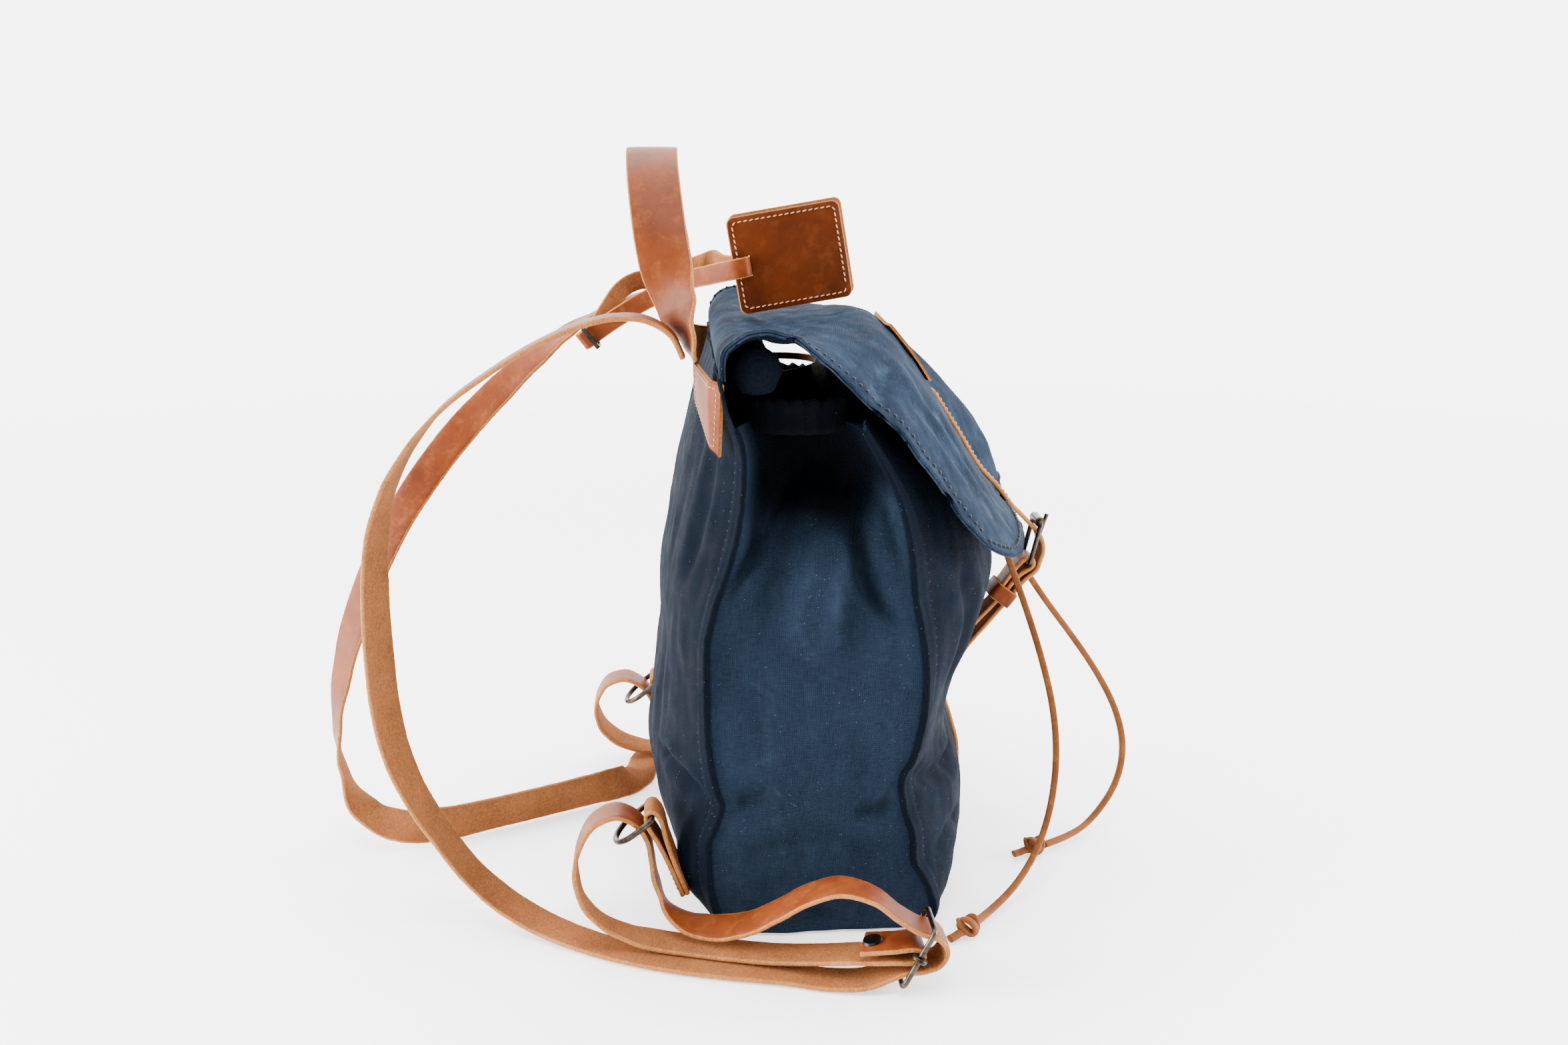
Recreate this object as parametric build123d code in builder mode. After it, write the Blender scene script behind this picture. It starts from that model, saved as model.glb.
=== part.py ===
from build123d import *
from math import atan2, cos, degrees, pi, radians, sin
import os

# Canvas backpack with leather straps, standing on its base.
# Millimetres.  +Z is up, the flap buckle is at the front (-Y), the shoulder straps are at the
# back (+Y), and the origin is the middle of the base on the surface it stands on.
# "left" is the -X side and "right" is the +X side.

os.makedirs("parts", exist_ok=True)

# ---------------------------------------------------------------- driving dimensions
BAG_HALF_WIDTH = 150.0
CANVAS = 2.6            # doubled waxed canvas of the body
BASE_THICKNESS = 3.0
GUSSET_THICKNESS = 2.6
GUSSET_TOP = 334.0
PANEL_FULLNESS = 2.6    # how squarely the stuffed panels bulge between their side seams

FLAP_CANVAS = 1.8
FLAP_LINING = 1.2
LINING_GAP = 0.1
FLAP_HINGE = (54.0, 391.0)      # y, z of the line where the flap folds

LEATHER = 3.0           # strap leather
SHOULDER_WIDTH = 25.0
HANDLE_WIDTH = 34.0
CLOSURE_WIDTH = 20.0
TAG_STRAP_WIDTH = 14.0
TAG_STRAP_THICKNESS = 2.4
MAX_TURN = 13.0         # degrees between neighbouring sections of a strap

COLLAR_HALF_LENGTH = 138.0
COLLAR_HALF_DEPTH = 34.0
COLLAR_Y = 12.0
COLLAR_Z = (338.0, 354.0)
COLLAR_WALL = 7.4
LACE = 5.0              # diameter of a drawstring lace
EYELET_X = 17.0

WIRE = 3.5              # buckle wire
BUCKLE_BAR = (-164.0, 213.0)    # y, z of the heel bar
ROLLER_BAR = (-171.0, 243.0)
BUCKLE_HALF_WIDTH = 12.3        # middle of the side wires
ROLLER_RADIUS = 3.7
ROLLER_LENGTH = 17.0
RUNNING_FIT = 0.06              # radial clearance of a turning part on its bar

RING_WIRE = 4.0
RING_BAR = (110.0, 82.0)
RING_X = 130.0
RING_HALF_WIDTH = 16.5
RING_STRAIGHT = 14.0
RING_DOWN = (0.79, -0.613)      # y, z direction in which the ring hangs from its bar
TAB_FOOT = (89.0, 26.0)
TAB_WIDTH = 24.0

SLIDER_X = 217.0
SLIDER_BAR = (-53.0, 25.0)      # y, z of the middle bar
SLIDER_UP = (-0.46, 0.888)
SLIDER_HALF_LENGTH = 21.0
SLIDER_HALF_WIDTH = 16.0
SLIDER_WIRE = 3.6

TAG_X = 20.0
TAG_CENTRE = (8.5, 431.0)
TAG_SIZE = (80.0, 68.0)
TAG_TILT = 9.5
TAG_LEATHER = 2.6


# ---------------------------------------------------------------- small helpers
def offset_outline(points, inward):
    """The points of a 2-D polyline moved sideways by inward, to the right of its direction."""
    moved = []
    for i, (a, b) in enumerate(points):
        before = points[max(i - 1, 0)]
        after = points[min(i + 1, len(points) - 1)]
        along = Vector(after[0] - before[0], after[1] - before[1]).normalized()
        moved.append((a + along.Y * inward, b - along.X * inward))
    return moved


def fullness(x):
    return 1.0 - (abs(x) / BAG_HALF_WIDTH) ** PANEL_FULLNESS


def mixed(edge, middle, x):
    """The side profile of a stuffed panel at x, between its seam and its middle."""
    t = fullness(x)
    return [(a[0] + (b[0] - a[0]) * t, a[1] + (b[1] - a[1]) * t) for a, b in zip(edge, middle)]


def skin(profiles, thickness, start=0.0):
    """A curved sheet lofted across the bag from {x: outer side profile}."""
    with BuildPart() as sheet:
        for x, outer in profiles:
            face = offset_outline(outer, start) if start else outer
            inner = offset_outline(outer, start + thickness)
            with BuildSketch(Plane.YZ.offset(x)):
                with BuildLine():
                    Polyline(*face, *reversed(inner), close=True)
                make_face()
        loft(ruled=True)
    return sheet


def strap(stations, width, thickness, holes=()):
    """A flat strap: stations are (point, direction of its width), holes (plane, width, height, depth)."""
    path = Spline(*[point for point, across in stations])
    known = [path.param_at_point(Vector(*point)) for point, across in stations]
    known[0], known[-1] = 0.0, 1.0

    def plane_at(t):
        i = min(max(sum(1 for k in known if k <= t) - 1, 0), len(known) - 2)
        share = (t - known[i]) / (known[i + 1] - known[i])
        share = share * share * (3.0 - 2.0 * share)
        across = Vector(*stations[i][1]).normalized() * (1.0 - share)
        across = across + Vector(*stations[i + 1][1]).normalized() * share
        along = path.tangent_at(t)
        return Plane(path.position_at(t), x_dir=across - along * across.dot(along), z_dir=along)

    def between(t0, t1, depth):
        a, b = plane_at(t0), plane_at(t1)
        turn = max(a.z_dir.get_angle(b.z_dir), a.x_dir.get_angle(b.x_dir))
        if depth and turn > MAX_TURN:
            middle = (t0 + t1) / 2.0
            return between(t0, middle, depth - 1) + between(middle, t1, depth - 1)
        return [t1]

    at = [0.0]
    for t0, t1 in zip(known, known[1:]):
        at += between(t0, t1, 4)
    with BuildPart() as band:
        for t in at:
            with BuildSketch(plane_at(t)):
                Rectangle(width, thickness)
        loft(ruled=True)
        for plane, hole_width, hole_height, depth in holes:
            with BuildSketch(plane):
                Rectangle(hole_width, hole_height)
            extrude(amount=depth, mode=Mode.SUBTRACT)
    return band


def flat_strap(points, width, thickness, x=0.0, holes=()):
    """A strap whose run lies in a plane across X, from its y, z points."""
    return strap([((x, y, z), (1, 0, 0)) for y, z in points], width, thickness, holes)


def around(centre, radius, angles):
    """y, z points on a circle, at angles in degrees from +Y towards +Z."""
    return [(centre[0] + radius * cos(radians(a)), centre[1] + radius * sin(radians(a))) for a in angles]


def wire_loop(plane, corners, radius, wire, middle_bar=0.0):
    """A closed wire frame through local corners, rounded at each of them, with a bar across it."""
    with BuildPart() as loop:
        with BuildLine(plane) as outline:
            FilletPolyline(*corners, radius=radius, close=True)
        start = outline.wires()[0]
        with BuildSketch(Plane(start.position_at(0), z_dir=start.tangent_at(0))):
            Circle(wire / 2.0)
        sweep(path=start)
        if middle_bar:
            with BuildSketch(Plane(plane.origin, z_dir=plane.x_dir)):
                Circle(wire / 2.0)
            extrude(amount=middle_bar / 2.0, both=True)
    return loop


def bar(x0, x1, centre, radius, bore=0.0):
    """A round bar or tube along X."""
    with BuildPart() as rod:
        with BuildSketch(Plane.YZ.offset(x0)):
            with Locations(centre):
                Circle(radius)
                if bore:
                    Circle(bore, mode=Mode.SUBTRACT)
        extrude(amount=x1 - x0)
    return rod


def save(part, name):
    part.label = name
    export_step(part, "parts/" + name + ".step")


def mirrored(stations):
    return [((-p[0], p[1], p[2]), (-w[0], w[1], w[2])) for p, w in stations]


# ---------------------------------------------------------------- canvas body
SECTIONS = [-150.0, -138.0, -112.0, -65.0, 0.0, 65.0, 112.0, 138.0, 150.0]

BACK_HEIGHTS = [3.2, 40.0, 88.0, 134.0, 177.0, 213.0, 257.0, 300.0, 340.0, 369.0]
BACK_SEAM = [66.0, 74.0, 66.0, 73.0, 74.0, 70.0, 60.0, 54.0, 60.0, 62.0]
BACK_MIDDLE = [68.0, 98.0, 110.0, 107.0, 101.0, 100.0, 94.0, 85.0, 74.0, 63.0]

FRONT_HEIGHTS = [3.8, 25.0, 50.0, 75.0, 100.0, 130.0, 160.0, 190.0, 215.0, 255.0, 300.0, 335.0]
FRONT_SEAM = [-74.0, -68.0, -63.0, -60.0, -55.0, -62.0, -67.0, -64.0, -62.0, -57.0, -46.0, -24.0]
FRONT_MIDDLE = [-87.0, -107.0, -111.0, -110.0, -103.0, -96.0, -102.0, -119.0, -129.0, -123.0, -86.0, -28.0]

back_seam = list(zip(BACK_SEAM, BACK_HEIGHTS))
back_middle = list(zip(BACK_MIDDLE, BACK_HEIGHTS))
front_seam = list(zip(FRONT_SEAM, FRONT_HEIGHTS))
front_middle = list(zip(FRONT_MIDDLE, FRONT_HEIGHTS))

back_panel = skin([(x, mixed(back_seam, back_middle, x)) for x in SECTIONS], -CANVAS)
save(back_panel.part, "back_panel")

front_panel = skin([(x, mixed(front_seam, front_middle, x)) for x in SECTIONS], CANVAS)
save(front_panel.part, "front_panel")

# The two gussets fill the side openings between the inner faces of the panels.
gusset_back = [p for p in offset_outline(back_seam, -CANVAS - 0.3) if 4.0 < p[1] < GUSSET_TOP]
gusset_front = [p for p in offset_outline(front_seam, CANVAS + 0.3) if 4.0 < p[1] < GUSSET_TOP]
gusset_foot = [(-70.0, BASE_THICKNESS), (62.0, BASE_THICKNESS)]
gusset_head = [(54.0, GUSSET_TOP), (-20.0, GUSSET_TOP)]
for name, x in (("left_gusset", -BAG_HALF_WIDTH + 0.6), ("right_gusset", BAG_HALF_WIDTH - 3.2)):
    with BuildPart() as gusset:
        with BuildSketch(Plane.YZ.offset(x)):
            with BuildLine():
                Polyline(*gusset_foot, *gusset_back, *gusset_head, *reversed(gusset_front), close=True)
            make_face()
        extrude(amount=GUSSET_THICKNESS)
    save(gusset.part, name)

with BuildPart() as base_panel:
    with BuildSketch(Plane.XY):
        with BuildLine():
            ThreePointArc((-149.0, -72.0), (0.0, -90.0), (149.0, -72.0))
            Line((149.0, -72.0), (149.0, 64.0))
            ThreePointArc((149.0, 64.0), (0.0, 67.0), (-149.0, 64.0))
            Line((-149.0, 64.0), (-149.0, -72.0))
        make_face()
    extrude(amount=BASE_THICKNESS)
    fillet(base_panel.edges().filter_by(Axis.Z), radius=6.0)
save(base_panel.part, "base_panel")

# ---------------------------------------------------------------- gathered mouth and drawstring
collar_length = 2.0 * COLLAR_HALF_LENGTH
collar_depth = 2.0 * COLLAR_HALF_DEPTH
channel_z = COLLAR_Z[0] + 4.5
channel_height = 7.0
channel_inset = 2.2
channel_depth = 3.0
eyelet_z = channel_z + channel_height / 2.0
collar_front = COLLAR_Y - COLLAR_HALF_DEPTH

with BuildPart() as mouth_collar:
    with BuildSketch(Plane.XY.offset(COLLAR_Z[0])):
        with Locations((0.0, COLLAR_Y)):
            SlotOverall(collar_length, collar_depth)
            SlotOverall(collar_length - 2.0 * COLLAR_WALL, collar_depth - 2.0 * COLLAR_WALL, mode=Mode.SUBTRACT)
    extrude(amount=COLLAR_Z[1] - COLLAR_Z[0])
    with BuildSketch(Plane.XY.offset(channel_z)):
        with Locations((0.0, COLLAR_Y)):
            SlotOverall(collar_length - 2.0 * channel_inset, collar_depth - 2.0 * channel_inset)
            inner = channel_inset + channel_depth
            SlotOverall(collar_length - 2.0 * inner, collar_depth - 2.0 * inner, mode=Mode.SUBTRACT)
    extrude(amount=channel_height, mode=Mode.SUBTRACT)
    with BuildSketch(Plane.XZ.offset(-collar_front - 1.0)):
        with Locations((-EYELET_X, eyelet_z), (EYELET_X, eyelet_z)):
            Circle(LACE / 2.0 + 1.1)
    extrude(amount=5.0, both=True, mode=Mode.SUBTRACT)
save(mouth_collar.part, "mouth_collar")

loop_inset = channel_inset + 0.3
loop_depth = channel_depth - 0.6
with BuildPart() as drawstring_loop:
    with BuildSketch(Plane.XY.offset(channel_z + 1.0)):
        with Locations((0.0, COLLAR_Y)):
            SlotOverall(collar_length - 2.0 * loop_inset, collar_depth - 2.0 * loop_inset)
            inner = loop_inset + loop_depth
            SlotOverall(collar_length - 2.0 * inner, collar_depth - 2.0 * inner, mode=Mode.SUBTRACT)
    extrude(amount=LACE)
save(drawstring_loop.part, "drawstring_loop")

with BuildPart() as drawstring_eyelets:
    with BuildSketch(Plane.XZ.offset(-collar_front + 0.1)):
        with Locations((-EYELET_X, eyelet_z), (EYELET_X, eyelet_z)):
            Circle(LACE / 2.0 + 2.6)
            Circle(LACE / 2.0 + 0.35, mode=Mode.SUBTRACT)
    extrude(amount=0.9)
    with BuildSketch(Plane.XZ.offset(-collar_front + 0.1)):
        with Locations((-EYELET_X, eyelet_z), (EYELET_X, eyelet_z)):
            Circle(LACE / 2.0 + 1.0)
            Circle(LACE / 2.0 + 0.35, mode=Mode.SUBTRACT)
    extrude(amount=-2.0)
save(drawstring_eyelets.part, "drawstring_eyelets")

# Each lace hangs down between the front panel and the flap, swings out past the buckle and
# comes down to a knot on the floor.
lace_start = collar_front + loop_inset
LACE_LEFT = [
    (-17, lace_start, eyelet_z), (-17, -40, eyelet_z), (-18, -66, 333), (-19, -91, 313), (-20, -112, 288),
    (-21, -128, 261), (-22, -141, 233), (-25, -151, 206), (-29, -161, 178), (-37, -170, 148),
    (-47, -177, 116), (-60, -178, 85), (-76, -172, 56), (-94, -160, 32), (-113, -142, 14),
    (-132, -121, 4.5), (-152, -104, 5.0),
]
LACE_RIGHT = [
    (17, lace_start, eyelet_z), (17, -40, eyelet_z), (18, -66, 333), (19, -91, 313), (20, -112, 288),
    (21, -129, 261), (21, -146, 234), (21, -164, 206), (22, -184, 176), (24, -207, 146),
    (24, -228, 116), (22, -244, 86), (16, -250, 58), (6, -243, 32), (-7, -224, 12),
    (-23, -203, 3.6), (-39, -177, 4.2),
]
KNOT_LEFT = (-161.0, -96.5, 6.6)
KNOT_RIGHT = (-45.0, -168.0, 6.6)

for name, route in (("drawstring_left", LACE_LEFT), ("drawstring_right", LACE_RIGHT)):
    points = [Vector(*p) for p in route]
    radii = []
    for a, b, c in zip(points, points[1:], points[2:]):
        turn = radians((b - a).get_angle(c - b))
        radii.append(0.45 * min((b - a).length, (c - b).length) / (sin(turn / 2.0) / cos(turn / 2.0)))
    print(name, "smallest radii", sorted(round(r, 1) for r in radii)[:4])
    with BuildPart() as lace:
        with BuildLine() as run:
            FilletPolyline(*points, radius=radii)
        with BuildSketch(Plane(points[0], z_dir=points[1] - points[0])):
            Circle(LACE / 2.0)
        sweep()
    length = run.wires()[0].length
    section = pi * (LACE / 2.0) ** 2
    print(name, "length", round(length, 1), "volume share", round(lace.part.volume / (section * length), 4))
    save(lace.part, name)

# A rounded block stands in for the overhand knot at the end of each lace.
for name, knot_at in (("knot_left", KNOT_LEFT), ("knot_right", KNOT_RIGHT)):
    with BuildPart() as knot:
        with Locations(knot_at):
            Box(17.0, 14.0, 12.4)
        fillet(knot.edges().filter_by(Axis.Z), radius=5.0)
        fillet(knot.edges().group_by(Axis.Z)[-1], radius=3.0)
    save(knot.part, name)

# ---------------------------------------------------------------- flap
# Outer side profile of the flap, from the back seam over the crest and down to its front hem.
FLAP_EDGE = [(50, 397), (36, 400), (18, 397), (2, 386), (-17, 367), (-36, 349), (-53, 332), (-76, 302),
             (-94, 276), (-104, 262), (-114, 252)]
FLAP_MIDDLE = [(55, 388.5), (40, 389), (12, 391), (-16, 394), (-38, 396), (-52, 390), (-66, 374), (-95, 329),
               (-123, 285), (-139, 266), (-149, 254)]
FLAP_CORNER = FLAP_EDGE[:-3] + [(-88, 285), (-94, 276), (-100, 268)]
ROOT_EDGE = [(63, 370.5), (62.5, 380), (60, 388), (54, 394)]
ROOT_MIDDLE = [(63, 370.5), (63.5, 377), (62, 383), (58, 386.5)]

# The right half of its front slope billows out past the strap that holds the middle down.
BILLOW = [(0, 0), (0, 0), (0, 0), (0, 0), (0, 0), (-2, 1), (-6, 4), (-18, 12), (-24, 15), (-18, 10), (-12, 4)]
FLAP_SECTIONS = [(-138.0, 0.0), (-112.0, 0.0), (-65.0, 0.0), (0.0, 0.0), (42.0, 0.0), (70.0, 1.0), (112.0, 0.8),
                 (138.0, 0.3)]
flap_profiles = [(-BAG_HALF_WIDTH, FLAP_CORNER)]
for x, share in FLAP_SECTIONS:
    profile = mixed(FLAP_EDGE, FLAP_MIDDLE, x)
    flap_profiles.append((x, [(a + da * share, b + db * share) for (a, b), (da, db) in zip(profile, BILLOW)]))
flap_profiles.append((BAG_HALF_WIDTH, FLAP_CORNER))

flap_root = skin([(x, mixed(ROOT_EDGE, ROOT_MIDDLE, x)) for x in SECTIONS], -FLAP_CANVAS - FLAP_LINING)
save(flap_root.part, "flap_root")

flap_panel = skin(flap_profiles, -FLAP_CANVAS)
save(flap_panel.part, "flap_panel")

flap_lining = skin(flap_profiles, -FLAP_LINING, -FLAP_CANVAS - LINING_GAP)
save(flap_lining.part, "flap_lining")

# A blank leather patch lies on the front slope of the flap.
PATCH_TOP = (-55.5, 388.0)
PATCH_FOOT = (-81.0, 352.0)
patch_down = Vector(0.0, PATCH_FOOT[0] - PATCH_TOP[0], PATCH_FOOT[1] - PATCH_TOP[1]).normalized()
patch_out = Vector(1, 0, 0).cross(patch_down)
if patch_out.Z < 0:
    patch_out = patch_out * -1.0
patch_at = Vector(0, (PATCH_TOP[0] + PATCH_FOOT[0]) / 2.0, (PATCH_TOP[1] + PATCH_FOOT[1]) / 2.0) + patch_out * 1.1
with BuildPart() as blank_patch:
    with BuildSketch(Plane(patch_at, x_dir=(1, 0, 0), z_dir=patch_out)):
        RectangleRounded(80.0, 43.0, 3.0)
    extrude(amount=2.2)
save(blank_patch.part, "blank_patch")

# ---------------------------------------------------------------- front closure
bar_lean = degrees(atan2(ROLLER_BAR[1] - BUCKLE_BAR[1], ROLLER_BAR[0] - BUCKLE_BAR[0]))
fold_radius = WIRE / 2.0 + 0.45 + LEATHER / 2.0

closure_run = [(-115.5, 58.0), (-114.5, 75.0), (-108.5, 98.0), (-102.5, 118.0), (-103.0, 135.0),
               (-112.0, 152.0), (-127.5, 170.0), (-144.5, 188.0), (-157.5, 203.5)]
closure_fold = around(BUCKLE_BAR, fold_radius, [bar_lean + 85, bar_lean + 35, bar_lean - 15, bar_lean - 65])
closure_return = [(-155.0, 209.5), (-147.0, 198.5), (-138.0, 186.5)]
prong_way = Vector(0.0, ROLLER_BAR[0] - BUCKLE_BAR[0], ROLLER_BAR[1] - BUCKLE_BAR[1]).normalized()
bar_at = Vector(0.0, *BUCKLE_BAR)
eye_slot = (Plane(bar_at - prong_way * 9.0, x_dir=(1, 0, 0), z_dir=prong_way), 5.2, 16.0, 18.0)
closure_points = closure_run + closure_fold + closure_return
closure_strap = flat_strap(closure_points, CLOSURE_WIDTH, LEATHER, holes=[eye_slot])
save(closure_strap.part, "closure_strap")

roller_side = around(ROLLER_BAR, ROLLER_RADIUS + LEATHER / 2.0 + 0.6, [-40.0, -58.0])
outside = [(-173.0, 230.0), (-174.3, 221.0)]
outside += around(BUCKLE_BAR, fold_radius + LEATHER + 1.3, [bar_lean + 80, bar_lean + 105])
flap_run = [(-91.5, 338.5), (-97.0, 330.0), (-111.0, 308.0), (-125.8, 284.5), (-141.2, 267.5),
            (-150.5, 255.5), (-159.0, 247.0)]
tail_run = [(-161.3, 199.5), (-149.0, 184.5), (-134.0, 166.5), (-119.5, 149.0), (-110.0, 133.0)]
prong_hole = (Plane(bar_at + prong_way * 10.0, x_dir=(1, 0, 0), z_dir=prong_way), 4.4, 26.0, 15.0)
flap_points = flap_run + roller_side + outside + tail_run
flap_strap = flat_strap(flap_points, CLOSURE_WIDTH, LEATHER, holes=[prong_hole])
save(flap_strap.part, "flap_strap")

buckle_plane = Plane(
    Vector(0, (BUCKLE_BAR[0] + ROLLER_BAR[0]) / 2.0, (BUCKLE_BAR[1] + ROLLER_BAR[1]) / 2.0),
    x_dir=(1, 0, 0), z_dir=Vector(1, 0, 0).cross(prong_way))
half_tall = (Vector(0.0, *ROLLER_BAR) - bar_at).length / 2.0
frame_corners = [(-BUCKLE_HALF_WIDTH, -half_tall), (BUCKLE_HALF_WIDTH, -half_tall),
                 (BUCKLE_HALF_WIDTH, half_tall), (-BUCKLE_HALF_WIDTH, half_tall)]
buckle_frame = wire_loop(buckle_plane, frame_corners, 3.0, WIRE)
save(buckle_frame.part, "buckle_frame")

buckle_roller = bar(-ROLLER_LENGTH / 2.0, ROLLER_LENGTH / 2.0, ROLLER_BAR, ROLLER_RADIUS,
                    WIRE / 2.0 + RUNNING_FIT)
save(buckle_roller.part, "buckle_roller")

# The prong is a wire with an eye on the heel bar; it lies over the roller.
PRONG_WIRE = 3.0
prong_out = Vector(0, -prong_way.Z, prong_way.Y)
eye_radius = WIRE / 2.0 + RUNNING_FIT
over_roller = ROLLER_RADIUS + PRONG_WIRE / 2.0 + 0.15
prong_tip = Vector(0.0, *ROLLER_BAR) + prong_out * (over_roller + 0.6) + prong_way * 5.5
prong_over = Vector(0.0, *ROLLER_BAR) + prong_out * over_roller
prong_root = bar_at + prong_out * (eye_radius + 1.1) + prong_way * 1.0
with BuildPart() as buckle_prong:
    with BuildSketch(Plane.YZ.offset(-2.0)):
        with Locations(BUCKLE_BAR):
            Circle(eye_radius + 2.0)
    extrude(amount=4.0)
    with BuildLine() as prong_line:
        Polyline(prong_root, prong_over, prong_tip)
    with BuildSketch(Plane(prong_root, z_dir=prong_over - prong_root)):
        Circle(PRONG_WIRE / 2.0)
    sweep(transition=Transition.ROUND)
    with BuildSketch(Plane.YZ.offset(-3.0)):
        with Locations(BUCKLE_BAR):
            Circle(eye_radius)
    extrude(amount=6.0, mode=Mode.SUBTRACT)
save(buckle_prong.part, "buckle_prong")

# The keeper is a leather band round the closure strap, its folded end and the tail.
keeper_at = Vector(0.0, -145.8, 188.8)
keeper_way = Vector(0.0, -12.5, 16.5).normalized()
with BuildPart() as closure_keeper:
    with BuildSketch(Plane(keeper_at - keeper_way * 6.0, x_dir=(1, 0, 0), z_dir=keeper_way)):
        RectangleRounded(CLOSURE_WIDTH + 5.6, 18.4, 2.4)
        RectangleRounded(CLOSURE_WIDTH + 1.6, 14.4, 1.2, mode=Mode.SUBTRACT)
    extrude(amount=12.0)
save(closure_keeper.part, "closure_keeper")

# ---------------------------------------------------------------- carrying handle and its patches
HANDLE = [
    ((-115, 77, 378), (1.0, 0.02, 0)), ((-111.5, 81, 391), (0.95, 0.25, 0)), ((-103, 88, 411), (0.7, 0.7, 0)),
    ((-90, 95.5, 440), (0.25, 1.0, 0)), ((-68, 100, 470), (0.05, 1.0, 0)), ((-38, 102.5, 494), (0.0, 1.0, 0)),
    ((0, 103, 505), (0.0, 1.0, 0)),
]
handle = strap(HANDLE + mirrored(reversed(HANDLE[:-1])), HANDLE_WIDTH, LEATHER)
save(handle.part, "handle")

PATCH_OUTLINE = [(-24.5, 18.5), (26.0, 25.0), (25.0, 3.0), (-17.0, -28.0), (-22.0, -26.0)]
for name, side in (("left_anchor_patch", 1.0), ("right_anchor_patch", -1.0)):
    corner_plane = Plane((-125.5 * side, 69.3, 350.0), x_dir=(48.0 * side, 10.6, 0.0), z_dir=(-10.6 * side, 48.0, 0.0))
    outline = PATCH_OUTLINE
    if side < 0:
        corner_plane = Plane(corner_plane.origin, x_dir=corner_plane.x_dir * -1.0, z_dir=corner_plane.z_dir)
        outline = [(-a, b) for a, b in PATCH_OUTLINE]
    with BuildPart() as anchor_patch:
        with BuildSketch(corner_plane):
            with BuildLine():
                Polyline(*outline, close=True)
            make_face()
        extrude(amount=4.4)
    save(anchor_patch.part, name)

# ---------------------------------------------------------------- rings and their tabs
tab_way = Vector(0, RING_BAR[0] - TAB_FOOT[0], RING_BAR[1] - TAB_FOOT[1]).normalized()
tab_side = Vector(0, tab_way.Z, -tab_way.Y)
tab_angle = degrees(atan2(tab_way.Z, tab_way.Y))
tab_fold_radius = RING_WIRE / 2.0 + 0.4 + LEATHER / 2.0


def tab_point(along, aside):
    point = Vector(0, *TAB_FOOT) + tab_way * along + tab_side * aside
    return (point.Y, point.Z)


TAB_SPREAD = [(0.0, 1.65), (22.0, 1.75), (40.0, 2.7)]
tab_up = [tab_point(a, -s) for a, s in TAB_SPREAD]
tab_down = [tab_point(a, s) for a, s in reversed(TAB_SPREAD)]
tab_fold = around(RING_BAR, tab_fold_radius, [tab_angle + 90, tab_angle + 45, tab_angle, tab_angle - 45,
                                              tab_angle - 90])
ring_down = Vector(0, *RING_DOWN).normalized()
for side, sign in (("left", -1.0), ("right", 1.0)):
    x = sign * RING_X
    ring_tab = flat_strap(tab_up + tab_fold + tab_down, TAB_WIDTH, LEATHER, x)
    save(ring_tab.part, side + "_ring_tab")

    ring_plane = Plane((x, *RING_BAR), x_dir=(1, 0, 0), z_dir=Vector(1, 0, 0).cross(ring_down))
    with BuildPart() as d_ring:
        with BuildLine(ring_plane) as outline:
            w, s = RING_HALF_WIDTH, RING_STRAIGHT
            Line((0, 0), (w - 3.0, 0))
            RadiusArc((w - 3.0, 0), (w, 3.0), -3.0)
            Line((w, 3.0), (w, s))
            ThreePointArc((w, s), (0, s + w), (-w, s))
            Line((-w, s), (-w, 3.0))
            RadiusArc((-w, 3.0), (-w + 3.0, 0), -3.0)
            Line((-w + 3.0, 0), (0, 0))
        with BuildSketch(Plane((x, *RING_BAR), z_dir=(1, 0, 0))):
            Circle(RING_WIRE / 2.0)
        sweep(path=outline.wires()[0])
    save(d_ring.part, side + "_ring")

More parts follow.
